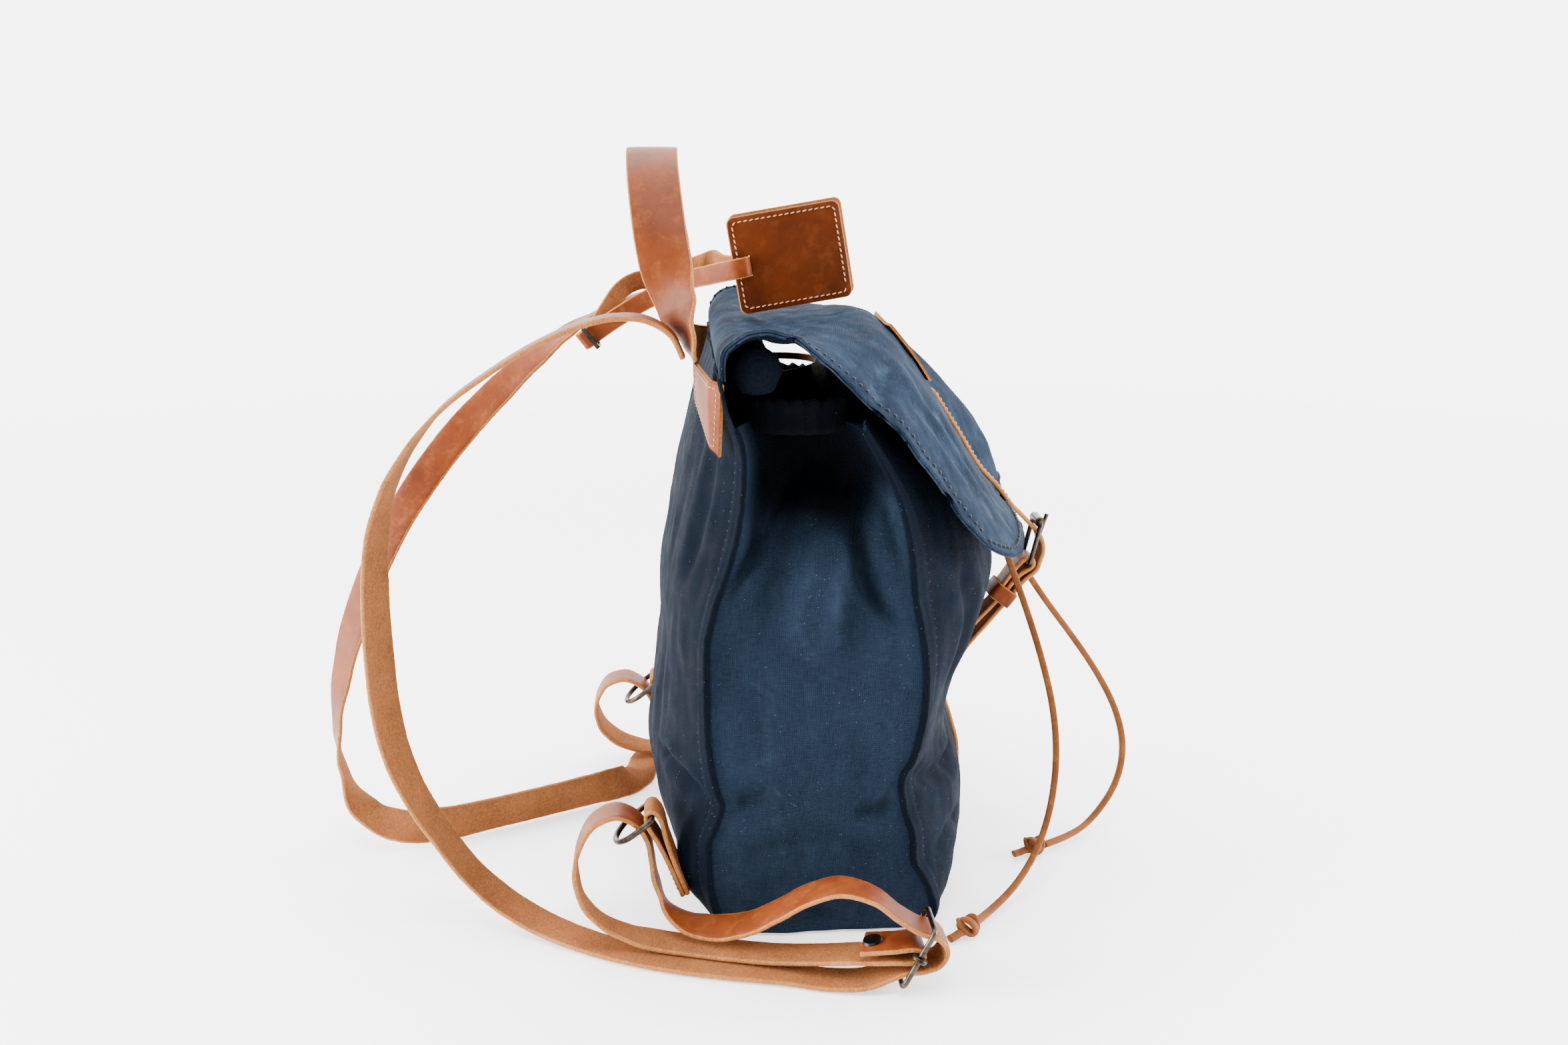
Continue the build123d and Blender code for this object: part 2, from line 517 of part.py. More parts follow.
# ---------------------------------------------------------------- shoulder straps
# Each strap is one piece of leather.  From the patch it arches back and down to the floor, runs
# forward under the slider's lower bar, turns round the middle bar, rises over to the ring,
# goes through it and comes back along the floor to be riveted round the middle bar.
X = (1, 0, 0)
LOWER_LEFT = [
    ((-187, 88, 2.1), (0.95, -0.32, 0)), ((-196, 57, 2.1), (0.97, -0.2, 0)), ((-204, 25, 2.1), (0.98, -0.15, 0)),
    ((-213, -3, 2.1), (0.99, -0.1, 0)), ((-217, -25, 5.0), X), ((-217, -36, 9.2), X),
    ((-217, -46, 13.2), X), ((-217, -58, 14.2), X), ((-217, -68, 18.5), X), ((-217, -71.5, 27.5), X),
    ((-217, -66, 35.5), X), ((-216.5, -56, 39.0), X), ((-213.5, -44, 45.5), X), ((-206, -29, 54.5), X),
    ((-198, -9, 57.5), X), ((-191, 12, 49.0), X), ((-184, 29, 36.0), X), ((-175, 49, 22.0), (1, 0, 0.05)),
    ((-165, 70, 14.6), (0.98, 0.15, 0.1)), ((-155, 89, 15.0), (0.95, 0.25, 0.1)),
    ((-145, 102, 22.5), (0.97, 0.2, 0.05)), ((-137, 108.5, 37.0), X), ((-132, 111, 52.0), X),
    ((-130, 113.5, 65.5), X), ((-130, 121, 77.0), X), ((-131.5, 133, 83.0), X), ((-136, 148, 78.5), X),
    ((-142, 157.5, 64.0), X), ((-149, 160, 48.0), X), ((-155, 155.5, 32.0), (0.98, 0.1, 0)),
    ((-158.5, 143, 18.5), (0.97, 0.2, 0)), ((-161, 126, 10.5), (0.96, 0.22, 0)),
    ((-165.5, 106, 6.8), (0.95, -0.25, 0)), ((-172, 83, 5.9), (0.95, -0.28, 0)),
    ((-180, 58, 6.0), (0.95, -0.3, 0)), ((-189, 31, 7.6), (0.95, -0.3, 0)), ((-199, 5, 12.0), (0.95, -0.28, 0)),
    ((-209, -19, 17.4), (0.98, -0.15, 0)), ((-216, -38, 20.4), X),
]
LOWER_LEFT += [((-SLIDER_X, y, z), X) for y, z in around(SLIDER_BAR, 3.95, [272, 226, 180, 134, 88])]
LOWER_LEFT += [((-216, -39, 28.2), X), ((-211, -21, 25.0), X)]
UPPER_LEFT = [
    ((-112, 85, 380), X), ((-112, 92, 394), X), ((-112, 106, 403), X), ((-112, 126, 405), X),
    ((-112, 149, 400), X), ((-112, 175, 389), X), ((-112, 207, 370), X), ((-112, 234, 350), X),
    ((-112, 256, 325), (0.98, -0.12, 0)), ((-112, 272, 297), (0.96, -0.25, 0)),
    ((-112, 281, 264), (0.9, -0.42, 0)), ((-112, 284, 227), (0.85, -0.52, 0)), ((-112, 284, 187), (0.82, -0.57, 0)),
    ((-112, 282, 150), (0.82, -0.57, 0)), ((-113, 276, 118), (0.84, -0.52, 0)), ((-115, 264, 88), (0.9, -0.42, 0)),
    ((-114, 250, 62), (0.93, -0.35, 0)), ((-116, 232, 36), (0.94, -0.33, 0.05)), ((-121, 211, 17), (0.9, -0.42, 0.06)),
    ((-132, 188, 6.5), (0.86, -0.5, 0.03)), ((-151, 159, 2.4), (0.82, -0.56, 0)),
    ((-172, 124, 2.1), (0.9, -0.42, 0)),
]
UPPER_RIGHT = [
    ((112, 85, 380), X), ((112, 92, 391), X), ((112, 106, 396), X), ((112, 126, 393.5), X),
    ((112, 150, 382), X), ((112, 173, 368), (0.95, 0.25, 0.2)), ((109, 199, 348), (0.8, 0.45, 0.4)),
    ((106, 229, 321), (0.55, 0.65, 0.55)), ((102, 257, 292), (0.35, 0.72, 0.6)),
    ((96, 284, 258), (0.35, 0.75, 0.55)), ((89, 305, 226), (0.45, 0.75, 0.45)), ((81, 323, 190), (0.5, 0.8, 0.3)),
    ((72, 338, 152), (0.6, 0.8, 0.15)), ((60, 347, 116), (0.7, 0.7, -0.15)), ((45, 350, 80), (0.85, 0.4, -0.37)),
    ((28, 343, 48), (0.88, -0.05, -0.46)), ((12, 325, 24), (0.75, -0.45, 0.15)), ((4, 300, 15), (0.7, 0, 0.7)),
    ((9, 269, 13.3), (0.25, 0, 1)), ((26, 232, 13.3), (0, 0, 1)), ((46, 194, 13.3), (0, 0, 1)),
    ((65, 161, 13.2), (0, 0.1, 1)), ((85, 137, 10.5), (0.35, 0.4, 0.8)), ((108, 126, 5.5), (0.45, 0.85, 0.4)),
    ((132, 123, 2.5), (0.15, 1, 0.03)), ((156, 119, 2.1), (0.35, 0.9, 0)), ((176, 106, 2.1), (0.8, 0.6, 0)),
]
lower_right = [((-p[0], p[1], p[2]), (w[0], -w[1], -w[2])) for p, w in LOWER_LEFT]

left_shoulder_strap = strap(UPPER_LEFT + LOWER_LEFT, SHOULDER_WIDTH, LEATHER)
save(left_shoulder_strap.part, "left_shoulder_strap")
right_shoulder_strap = strap(UPPER_RIGHT + lower_right, SHOULDER_WIDTH, LEATHER)
save(right_shoulder_strap.part, "right_shoulder_strap")

# ---------------------------------------------------------------- sliders and their rivets
slider_up = Vector(0, *SLIDER_UP).normalized()
for side, sign in (("left", -1.0), ("right", 1.0)):
    x = sign * SLIDER_X
    slider_plane = Plane((x, *SLIDER_BAR), x_dir=(1, 0, 0), z_dir=Vector(1, 0, 0).cross(slider_up))
    w, h = SLIDER_HALF_WIDTH, SLIDER_HALF_LENGTH
    slider = wire_loop(slider_plane, [(-w, -h), (w, -h), (w, h), (-w, h)], 4.0, SLIDER_WIRE, 2.0 * w)
    save(slider.part, side + "_slider")

    rivet_at = Vector(sign * 212.5, -27.0, 26.2)
    rivet_up = Vector(0, 0.19, 0.98).normalized()
    with BuildPart() as strap_rivet:
        with BuildSketch(Plane(rivet_at + rivet_up * 1.55, z_dir=rivet_up)):
            Circle(6.5)
        extrude(amount=1.6, taper=25)
        with BuildSketch(Plane(rivet_at - rivet_up * 9.0, z_dir=rivet_up)):
            Circle(1.6)
        extrude(amount=10.6)
    save(strap_rivet.part, side + "_strap_rivet")

# ---------------------------------------------------------------- luggage tag
tag_tilt = radians(TAG_TILT)
tag_across = Vector(0, -cos(tag_tilt), sin(tag_tilt))
tag_down = Vector(0, -sin(tag_tilt), -cos(tag_tilt))
SLOT_FROM_EDGE = 11.0
TAG_SLOT = (3.4, 16.0)
slot_at = (-TAG_SIZE[0] / 2.0 + SLOT_FROM_EDGE, 1.0)
for name, near, far in (("tag_front", -TAG_LEATHER - 0.05, -0.05), ("tag_back", 0.05, TAG_LEATHER + 0.05)):
    with BuildPart() as tag_half:
        with BuildSketch(Plane((TAG_X + near, *TAG_CENTRE), x_dir=tag_across, z_dir=(1, 0, 0))):
            RectangleRounded(TAG_SIZE[0], TAG_SIZE[1], 5.0)
            with Locations(slot_at):
                SlotOverall(TAG_SLOT[1], TAG_SLOT[0], rotation=90, mode=Mode.SUBTRACT)
        extrude(amount=far - near)
    save(tag_half.part, name)

# The tag's strap goes through the slot, passes each side of the right leg of the handle and is
# buckled to itself behind it.
UP = (0.0, sin(tag_tilt), cos(tag_tilt))
slot_y, slot_z = 36.9, 425.2
TAG_STRAP = [
    ((84.5, 158, 364.5), UP), ((83.5, 148, 372), UP), ((81.5, 132, 383), UP), ((79, 112, 395), UP),
    ((73, 93, 404.5), UP), ((58, 78, 412.5), UP), ((36, 65, 417.5), UP), ((18.5, 54, 421.5), UP),
    ((12.6, slot_y + 8.0, slot_z - 1.4), UP), ((13.6, slot_y + 1.9, slot_z - 0.3), UP),
    ((17, slot_y, slot_z), UP), ((20, slot_y, slot_z), UP), ((23, slot_y, slot_z), UP),
    ((26.4, slot_y + 1.9, slot_z - 0.3), UP), ((28, slot_y + 7.5, slot_z - 0.5), UP), ((38, 51, 424.5), UP),
    ((64, 56, 425), UP), ((96, 60, 424), UP), ((118, 69, 419), UP), ((127, 86, 412), UP), ((125, 103, 407.5), UP),
    ((110, 118, 407), UP), ((95, 130, 401), UP), ((89, 141, 385), UP), ((88.3, 150, 371.5), UP),
    ((88.8, 160, 363.5), UP),
]
tag_strap = strap(TAG_STRAP, TAG_STRAP_WIDTH, TAG_STRAP_THICKNESS)
save(tag_strap.part, "tag_strap")

tag_run = Vector(0.05, 0.8, -0.6).normalized()
tag_face = Vector(1, 0, 0.08)
tag_buckle_plane = Plane((86.3, 152.5, 368.6), x_dir=tag_face.cross(tag_run), z_dir=tag_run)
with BuildPart() as tag_buckle:
    with BuildSketch(tag_buckle_plane):
        RectangleRounded(TAG_STRAP_WIDTH + 6.4, 15.0, 2.0)
        RectangleRounded(TAG_STRAP_WIDTH + 3.0, 11.4, 1.0, mode=Mode.SUBTRACT)
    extrude(amount=1.6, both=True)
save(tag_buckle.part, "tag_buckle")
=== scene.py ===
import bpy
import math
import numpy as np
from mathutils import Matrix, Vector, noise


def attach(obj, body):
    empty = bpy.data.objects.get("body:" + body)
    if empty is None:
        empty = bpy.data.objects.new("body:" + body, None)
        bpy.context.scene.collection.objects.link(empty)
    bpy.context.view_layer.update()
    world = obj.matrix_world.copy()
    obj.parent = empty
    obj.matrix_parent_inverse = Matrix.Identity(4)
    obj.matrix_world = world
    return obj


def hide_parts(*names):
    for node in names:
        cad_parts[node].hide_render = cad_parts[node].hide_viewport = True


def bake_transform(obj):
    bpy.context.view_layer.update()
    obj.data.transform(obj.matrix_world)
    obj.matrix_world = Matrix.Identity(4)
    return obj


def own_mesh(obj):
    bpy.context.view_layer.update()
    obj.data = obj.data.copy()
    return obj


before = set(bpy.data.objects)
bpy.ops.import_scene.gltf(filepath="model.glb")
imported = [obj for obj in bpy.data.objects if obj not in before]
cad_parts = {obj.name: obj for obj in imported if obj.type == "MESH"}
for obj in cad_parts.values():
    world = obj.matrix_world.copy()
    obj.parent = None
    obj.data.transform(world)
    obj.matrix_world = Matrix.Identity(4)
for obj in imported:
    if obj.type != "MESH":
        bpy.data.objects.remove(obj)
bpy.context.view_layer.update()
MM = 0.001
HALF = 150.0


# ---------------------------------------------------------------- curves and meshes
def unit(v):
    v = np.asarray(v, float)
    return v / np.maximum(np.linalg.norm(v, axis=-1, keepdims=True), 1e-12)


def smoothstep(a, b, x):
    t = np.clip((np.asarray(x, float) - a) / (b - a), 0.0, 1.0)
    return t * t * (3.0 - 2.0 * t)


def distances(p):
    """How far along a line of points each of them lies."""
    return np.r_[0.0, np.cumsum(np.linalg.norm(np.diff(p, axis=0), axis=1))]


def through(points, step=2.5):
    """A smooth line through the points: its samples and the station number each one lies at."""
    p = np.array(points, float)
    d = distances(p)
    slope = np.gradient(p, d, axis=0)
    count = max(3, int(d[-1] / step))
    s = np.linspace(0.0, d[-1], count + 1)
    i = np.clip(np.searchsorted(d, s, side="right") - 1, 0, len(d) - 2)
    h = (d[i + 1] - d[i])[:, None]
    t = ((s - d[i]) / (d[i + 1] - d[i]))[:, None]
    a = (2 * t ** 3 - 3 * t ** 2 + 1) * p[i] + (t ** 3 - 2 * t ** 2 + t) * h * slope[i]
    b = (-2 * t ** 3 + 3 * t ** 2) * p[i + 1] + (t ** 3 - t ** 2) * h * slope[i + 1]
    return a + b, i + t[:, 0]


def at_height(pairs, z):
    """The y of a smooth seam given as (y, z) pairs, at heights z."""
    pairs = sorted(pairs, key=lambda p: p[1])
    line, where = through([(y, zz, 0.0) for y, zz in pairs], 1.5)
    return np.interp(z, line[:, 1], line[:, 0])


def wobble(p, size, seed=0.0):
    return noise.noise(Vector((p[0] / size + seed, p[1] / size - seed, p[2] / size + 2.0 * seed)))


def mesh(name, verts, faces, mats, uvs=None, face_mats=None, values=None, shades=None):
    """verts in millimetres; uvs one per vertex, in metres; face_mats the number of each face's material.

    values and shades become the attributes "wear" and "shade", which the canvas reads: paler for rubbing
    with painted light, darker for painted shade.
    """
    data = bpy.data.meshes.new(name)
    data.from_pydata((np.asarray(verts, float) * MM).tolist(), [], [list(map(int, f)) for f in faces])
    for m in mats:
        data.materials.append(m)
    data.polygons.foreach_set("use_smooth", [True] * len(data.polygons))
    if face_mats is not None:
        data.polygons.foreach_set("material_index", [int(k) for k in face_mats])
    if uvs is not None:
        layer = data.uv_layers.new(name="UVMap")
        loops = np.zeros(len(data.loops), np.int32)
        data.loops.foreach_get("vertex_index", loops)
        layer.data.foreach_set("uv", np.asarray(uvs, np.float32)[loops].ravel())
    if values is not None:
        attribute = data.attributes.new("wear_and_light", "FLOAT", "POINT")
        attribute.data.foreach_set("value", np.asarray(values, np.float32))
    if shades is not None:
        attribute = data.attributes.new("shade", "FLOAT", "POINT")
        attribute.data.foreach_set("value", np.asarray(shades, np.float32))
    data.update()
    obj = bpy.data.objects.new(name, data)
    bpy.context.scene.collection.objects.link(obj)
    return obj


def settle(obj, body, slot, *nodes):
    """obj rides on the body and stands for the CAD nodes. The slot is not used."""
    if nodes:
        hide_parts(*nodes)
    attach(obj, body)


def ring_quads(rings, size, flip=False, wrap=False):
    """Quads that join each ring of points to the next; wrap joins the last ring to the first."""
    faces = []
    for r in range(rings if wrap else rings - 1):
        for k in range(size):
            a, b = r * size + k, r * size + (k + 1) % size
            c, d = (a + size) % (rings * size), (b + size) % (rings * size)
            faces.append((c, d, b, a) if flip else (a, b, d, c))
    return faces


def grid_normals(p):
    a = np.gradient(p, axis=0)
    b = np.gradient(p, axis=1)
    return unit(np.cross(a, b))


def curvature(p):
    """How strongly each grid point stands proud of its neighbours, 0 to 1."""
    q = np.pad(p, ((2, 2), (2, 2), (0, 0)), mode="edge")
    around = (q[:-4, 2:-2] + q[4:, 2:-2] + q[2:-2, :-4] + q[2:-2, 4:]) / 4.0
    return np.clip(np.einsum("ijk,ijk->ij", p - around, grid_normals(p)) * 2.2, 0.0, 1.0)


def shell(name, p, thick, mats, flip=False, wear_and_light=None, shade=None):
    """A sheet of cloth or leather from a grid of points, with a rounded rim. thick goes to the back."""
    p = np.asarray(p, float)
    n, m = p.shape[:2]
    normal = grid_normals(p) * (-1.0 if flip else 1.0)
    uv = np.stack(np.meshgrid(distances(p[:, m // 2]), distances(p[n // 2]), indexing="ij"), -1) * MM
    back = p - normal * thick
    verts = [p.reshape(-1, 3), back.reshape(-1, 3)]
    uvs = [uv.reshape(-1, 2), uv.reshape(-1, 2)]
    # These values are rubbing with painted light.
    worn = np.zeros((n, m)) if wear_and_light is None else wear_and_light
    values = [worn.ravel(), worn.ravel()]
    dark = np.zeros((n, m)) if shade is None else shade
    number = np.arange(n * m).reshape(n, m)
    quads = np.stack([number[:-1, :-1], number[1:, :-1], number[1:, 1:], number[:-1, 1:]], -1)
    quads = quads.reshape(-1, 4)
    if flip:
        quads = quads[:, ::-1]
    faces = [quads, quads[:, ::-1] + n * m]
    border = np.r_[number[:, 0], number[-1, 1:], number[-2::-1, -1], number[0, -2:0:-1]]
    inside = np.r_[number[:, 1], number[-2, 1:], number[-2::-1, -2], number[1, -2:0:-1]]
    inside[n - 1] = number[-2, 1]
    inside[n + m - 2] = number[-2, -2]
    inside[0] = number[1, 1]
    flat = p.reshape(-1, 3)
    out = unit(flat[border] - flat[inside])
    rim = flat[border] - normal.reshape(-1, 3)[border] * thick / 2.0 + out * thick * 0.32
    verts.append(rim)
    uvs.append(uv.reshape(-1, 2)[border])
    values.append(np.clip(worn.ravel()[border] + 0.35, 0.0, 1.0))
    count = len(border)
    ring = np.arange(count) + 2 * n * m
    following = np.roll(ring, -1)
    edge_next = np.roll(border, -1)
    sides = np.stack([border, ring, following, edge_next], -1)
    under = np.stack([ring, border + n * m, edge_next + n * m, following], -1)
    if not flip:
        sides, under = sides[:, ::-1], under[:, ::-1]
    faces += [sides, under]
    kinds = [0] * len(quads) + [1] * len(quads) + [2] * (2 * count)
    shades = np.concatenate([dark.ravel(), dark.ravel(), dark.ravel()[border]])
    return mesh(name, np.concatenate(verts), np.concatenate(faces), mats, np.concatenate(uvs), kinds,
                np.concatenate(values), shades)


def section(width, thick, crown):
    """A strap's section with rounded edges, from its grain side round to its flesh side."""
    r = min(0.9, thick * 0.33)
    w, t = width / 2.0, thick / 2.0
    top = [(a * (w - r), t + crown * (1.0 - abs(a) ** 3)) for a in (-1, -0.72, -0.4, 0, 0.4, 0.72, 1)]
    right = [(w - 0.3 * r, t - 0.3 * r), (w, t - r), (w + 0.12, 0.0), (w, r - t),
             (w - 0.3 * r, 0.3 * r - t)]
    low = [(a * (w - r), -t) for a in (1, 0.5, 0, -0.5, -1)]
    left = [(-a, b) for a, b in reversed(right)]
    return top + right + low + left, [0] * 6 + [2] * 6 + [1] * 4 + [2] * 6


def ribbon(name, stations, width, thick, grain=1.0, crown=0.25, step=2.2, rough=0.12, round_tip=False):
    """A leather strap through its stations; each is (point, direction of its width).

    grain is 1 where the grain side faces width x direction of travel, and -1 where it faces away.
    """
    points, where = through([s[0] for s in stations], step)
    wide = unit([s[1] for s in stations])
    i = np.clip(where.astype(int), 0, len(stations) - 2)
    t = (where - i)[:, None]
    t = t * t * (3.0 - 2.0 * t)
    along = unit(np.gradient(points, axis=0))
    across = wide[i] * (1.0 - t) + wide[i + 1] * t
    across = unit(across - along * np.sum(across * along, axis=1, keepdims=True))
    up = np.cross(across, along) * grain
    profile, kinds = section(width, thick, crown)
    run = distances(points)
    verts, uvs = [], []
    size = len(profile)
    girth = distances(np.array(profile))
    for k in range(len(points)):
        share = 1.0
        if round_tip:
            left = min(run[-1] - run[k], width / 2.0) / (width / 2.0)
            share = max(0.12, math.sqrt(max(0.0, 1.0 - (1.0 - left) ** 2)))
        for j, (a, b) in enumerate(profile):
            q = points[k] + across[k] * a * share + up[k] * b
            ragged = wobble(q, 2.2, 3.0) * rough if abs(a) > width * 0.46 else 0.0
            verts.append(q + across[k] * ragged * (1.0 if a > 0 else -1.0))
            uvs.append((run[k] * MM, girth[j] * MM))
    faces = ring_quads(len(points), size, flip=grain < 0)
    first = tuple(range(size))
    last = tuple(range((len(points) - 1) * size, len(points) * size))
    faces += [first[::-1], last] if grain > 0 else [first, last[::-1]]
    return mesh(name, verts, faces, STRAP_MATS, uvs, kinds * (len(points) - 1) + [2, 2])


def tube(name, points, radius, mats, sides=10, flat=1.0, closed=False, ups=None):
    """A round or flattened tube along sampled points; radius is one number or one per point."""
    p = np.array(points, float)
    along = unit(np.gradient(p, axis=0))
    if closed:
        along = unit(np.roll(p, -1, axis=0) - np.roll(p, 1, axis=0))
    radius = np.broadcast_to(radius, len(p))
    up = np.array([0.0, 0.0, 1.0]) if abs(along[0][2]) < 0.9 else np.array([0.0, 1.0, 0.0])
    frames = []
    for k in range(len(p)):
        up = unit(up - along[k] * np.dot(up, along[k])) if ups is None else unit(ups[k])
        frames.append((np.cross(along[k], up), up))
    verts, uvs = [], []
    run = distances(p)
    for k in range(len(p)):
        side, up = frames[k]
        for j in range(sides):
            a = 2.0 * math.pi * j / sides
            verts.append(p[k] + side * math.cos(a) * radius[k] + up * math.sin(a) * radius[k] * flat)
            uvs.append((run[k] * MM, j / sides * 2.0 * math.pi * radius[k] * MM))
    count = len(p)
    faces = ring_quads(count, sides, wrap=closed)
    if not closed:
        faces += [tuple(range(sides))[::-1], tuple(range((count - 1) * sides, count * sides))]
    return mesh(name, verts, faces, mats, uvs)


def stitches(name, line, normals, mat, length=3.4, gap=1.5, radius=0.55, lift=0.1, lean=0.0):
    """Thread that dips in and out along a sampled line on a surface."""
    p = np.array(line, float)
    n = unit(np.broadcast_to(normals, p.shape))
    run = distances(p)

    def look(s):
        return np.array([np.interp(s, run, p[:, k]) for k in range(3)]), unit(
            np.array([np.interp(s, run, n[:, k]) for k in range(3)]))

    verts, faces, uvs = [], [], []
    start = gap
    rings, sides = 7, 6
    while start + length < run[-1]:
        base = len(verts)
        for k in range(rings):
            t = k / (rings - 1)
            q, up = look(start + t * length)
            ahead, _ = look(min(run[-1], start + t * length + 0.3))
            behind, _ = look(max(0.0, start + t * length - 0.3))
            along = unit(ahead - behind)
            side = np.cross(up, along)
            rise = radius * (0.15 + 0.85 * math.sin(math.pi * t)) + lift
            thin = radius * (0.45 + 0.55 * math.sin(math.pi * t))
            q = q + up * (rise - radius * 0.55) + side * lean * (t - 0.5)
            for j in range(sides):
                a = 2.0 * math.pi * j / sides
                verts.append(q + side * math.cos(a) * thin + up * math.sin(a) * thin)
                uvs.append((t * length * MM, j / sides * 0.003))
        faces += [tuple(base + corner for corner in quad) for quad in ring_quads(rings, sides)]
        faces.append(tuple(range(base, base + sides))[::-1])
        faces.append(tuple(range(base + (rings - 1) * sides, base + rings * sides)))
        start += length + gap
    return mesh(name, verts, faces, [mat], uvs)


# ---------------------------------------------------------------- materials
def colour(code):
    value = [int(code[i:i + 2], 16) / 255.0 for i in (0, 2, 4)]
    return [v / 12.92 if v <= 0.04045 else ((v + 0.055) / 1.055) ** 2.4 for v in value] + [1.0]


class Shader:
    """A small helper that adds nodes to one material and joins them."""

    def __init__(self, name):
        self.mat = bpy.data.materials.new(name)
        self.mat.use_nodes = True
        self.tree = self.mat.node_tree
        self.bsdf = self.tree.nodes["Principled BSDF"]

    def add(self, kind, inputs=None, **settings):
        node = self.tree.nodes.new(kind)
        for key, value in settings.items():
            setattr(node, key, value)
        for key, value in (inputs or {}).items():
            self.put(node.inputs[key], value)
        return node

    def put(self, socket, value):
        if isinstance(value, bpy.types.NodeSocket):
            self.tree.links.new(value, socket)
        else:
            socket.default_value = value

    def surface(self, values):
        """Gives the shader's own sockets a number, a colour or a node's output, and returns the material."""
        for key, value in values.items():
            self.put(self.bsdf.inputs[key], value)
        return self.mat

    def noise(self, vector, scale, detail=3.0, rough=0.55, stretch=None):
        if stretch:
            vector = self.add("ShaderNodeMapping", {"Vector": vector, "Scale": stretch}).outputs[0]
        node = self.add("ShaderNodeTexNoise", {"Vector": vector, "Scale": scale, "Detail": detail,
                                               "Roughness": rough})
        return node.outputs["Fac"]

    def math(self, operation, a, b=0.0, clamp=False):
        node = self.add("ShaderNodeMath", operation=operation, use_clamp=clamp)
        self.put(node.inputs[0], a)
        self.put(node.inputs[1], b)
        return node.outputs[0]

    def span(self, value, low, high, to_low=0.0, to_high=1.0):
        return self.add("ShaderNodeMapRange", {"Value": value, "From Min": low, "From Max": high,
                                               "To Min": to_low, "To Max": to_high}).outputs[0]

    def mix(self, share, a, b, how="MIX"):
        node = self.add("ShaderNodeMix", data_type="RGBA", blend_type=how)
        self.put(node.inputs[0], share)
        self.put(node.inputs[6], a)
        self.put(node.inputs[7], b)
        return node.outputs[2]

    def bump(self, height, strength, distance, normal=None):
        node = self.add("ShaderNodeBump", {"Height": height, "Strength": strength, "Distance": distance})
        if normal is not None:
            self.put(node.inputs["Normal"], normal)
        return node.outputs[0]


def canvas(name, deep, lit, pale, pitch=1.25, wear_and_light=0.55):
    """Waxed cotton canvas: a plain weave with slubs, rubbed folds and specks of lint. Per-vertex values make
    it paler for rubbing and painted light, and darker for painted shade.
    """
    s = Shader(name)
    place = s.add("ShaderNodeTexCoord")
    uv, obj = place.outputs["UV"], place.outputs["Object"]
    waves = []
    for direction in ("X", "Y"):
        wave = s.add("ShaderNodeTexWave", {
            "Vector": uv, "Scale": 0.314 / (pitch * MM), "Distortion": 1.6, "Detail": 1.0,
            "Detail Scale": 0.35,
        }, bands_direction=direction)
        waves.append(wave.outputs["Fac"])
    weave = s.math("MAXIMUM", waves[0], waves[1])
    slub = s.math("ADD", s.noise(uv, 1.0, 2.0, 0.6, (110.0, 1500.0, 1.0)),
                  s.noise(uv, 1.0, 2.0, 0.6, (1500.0, 110.0, 1.0)))
    blotch = s.noise(obj, 11.0, 6.0, 0.62)
    cloud = s.noise(obj, 55.0, 4.0, 0.6)
    base = s.mix(s.span(blotch, 0.2, 0.8), deep, lit)
    base = s.mix(s.span(cloud, 0.45, 0.75, 0.0, 0.2), base, lit)
    base = s.mix(s.span(slub, 0.75, 1.3, 0.0, 0.1), base, pale)
    # Rubbing and painted light: a per-vertex value turns the cloth paler in streaks.
    wear_and_light_value = s.add("ShaderNodeAttribute", attribute_name="wear_and_light").outputs["Fac"]
    streak = s.noise(obj, 1.0, 5.0, 0.65, (70.0, 70.0, 9.0))
    wear_and_light_share = s.math("MULTIPLY", s.span(streak, 0.38, 0.72), s.math("MULTIPLY", wear_and_light_value, wear_and_light), True)
    base = s.mix(wear_and_light_share, base, pale)
    dark = s.mix(1.0, base, (0.62, 0.62, 0.66, 1.0), "MULTIPLY")
    base = s.mix(s.span(weave, 0.15, 0.85), dark, base)
    lint = s.add("ShaderNodeTexVoronoi", {"Vector": obj, "Scale": 480.0, "Randomness": 1.0})
    pick = s.add("ShaderNodeSeparateColor", {"Color": lint.outputs["Color"]}).outputs[0]
    chosen = s.math("GREATER_THAN", pick, 0.93)
    speck = s.math("MULTIPLY", s.math("LESS_THAN", lint.outputs["Distance"], 0.14), chosen)
    base = s.mix(s.math("MULTIPLY", speck, 0.28), base, colour("7f90a4"))
    # Painted shade: the "shade" attribute darkens what lies in folds, seams and the hollow under the flap,
    # down to near black.
    dusk = s.add("ShaderNodeAttribute", attribute_name="shade").outputs["Fac"]
    base = s.mix(dusk, base, (0.0012, 0.0018, 0.003, 1.0))
    rough = s.span(cloud, 0.3, 0.7, 0.68, 0.9)
    puckers = s.bump(s.noise(obj, 90.0, 4.0, 0.6), 0.35, 0.0012)
    fine = s.bump(s.math("ADD", weave, s.math("MULTIPLY", slub, 0.5)), 0.55, 0.00035, puckers)
    return s.surface({"Base Color": base, "Roughness": rough, "Normal": fine,
                      "Specular IOR Level": 0.3, "IOR": 1.12, "Sheen Weight": 0.03,
                      "Sheen Roughness": 0.5, "Sheen Tint": colour("6f8fb3")})


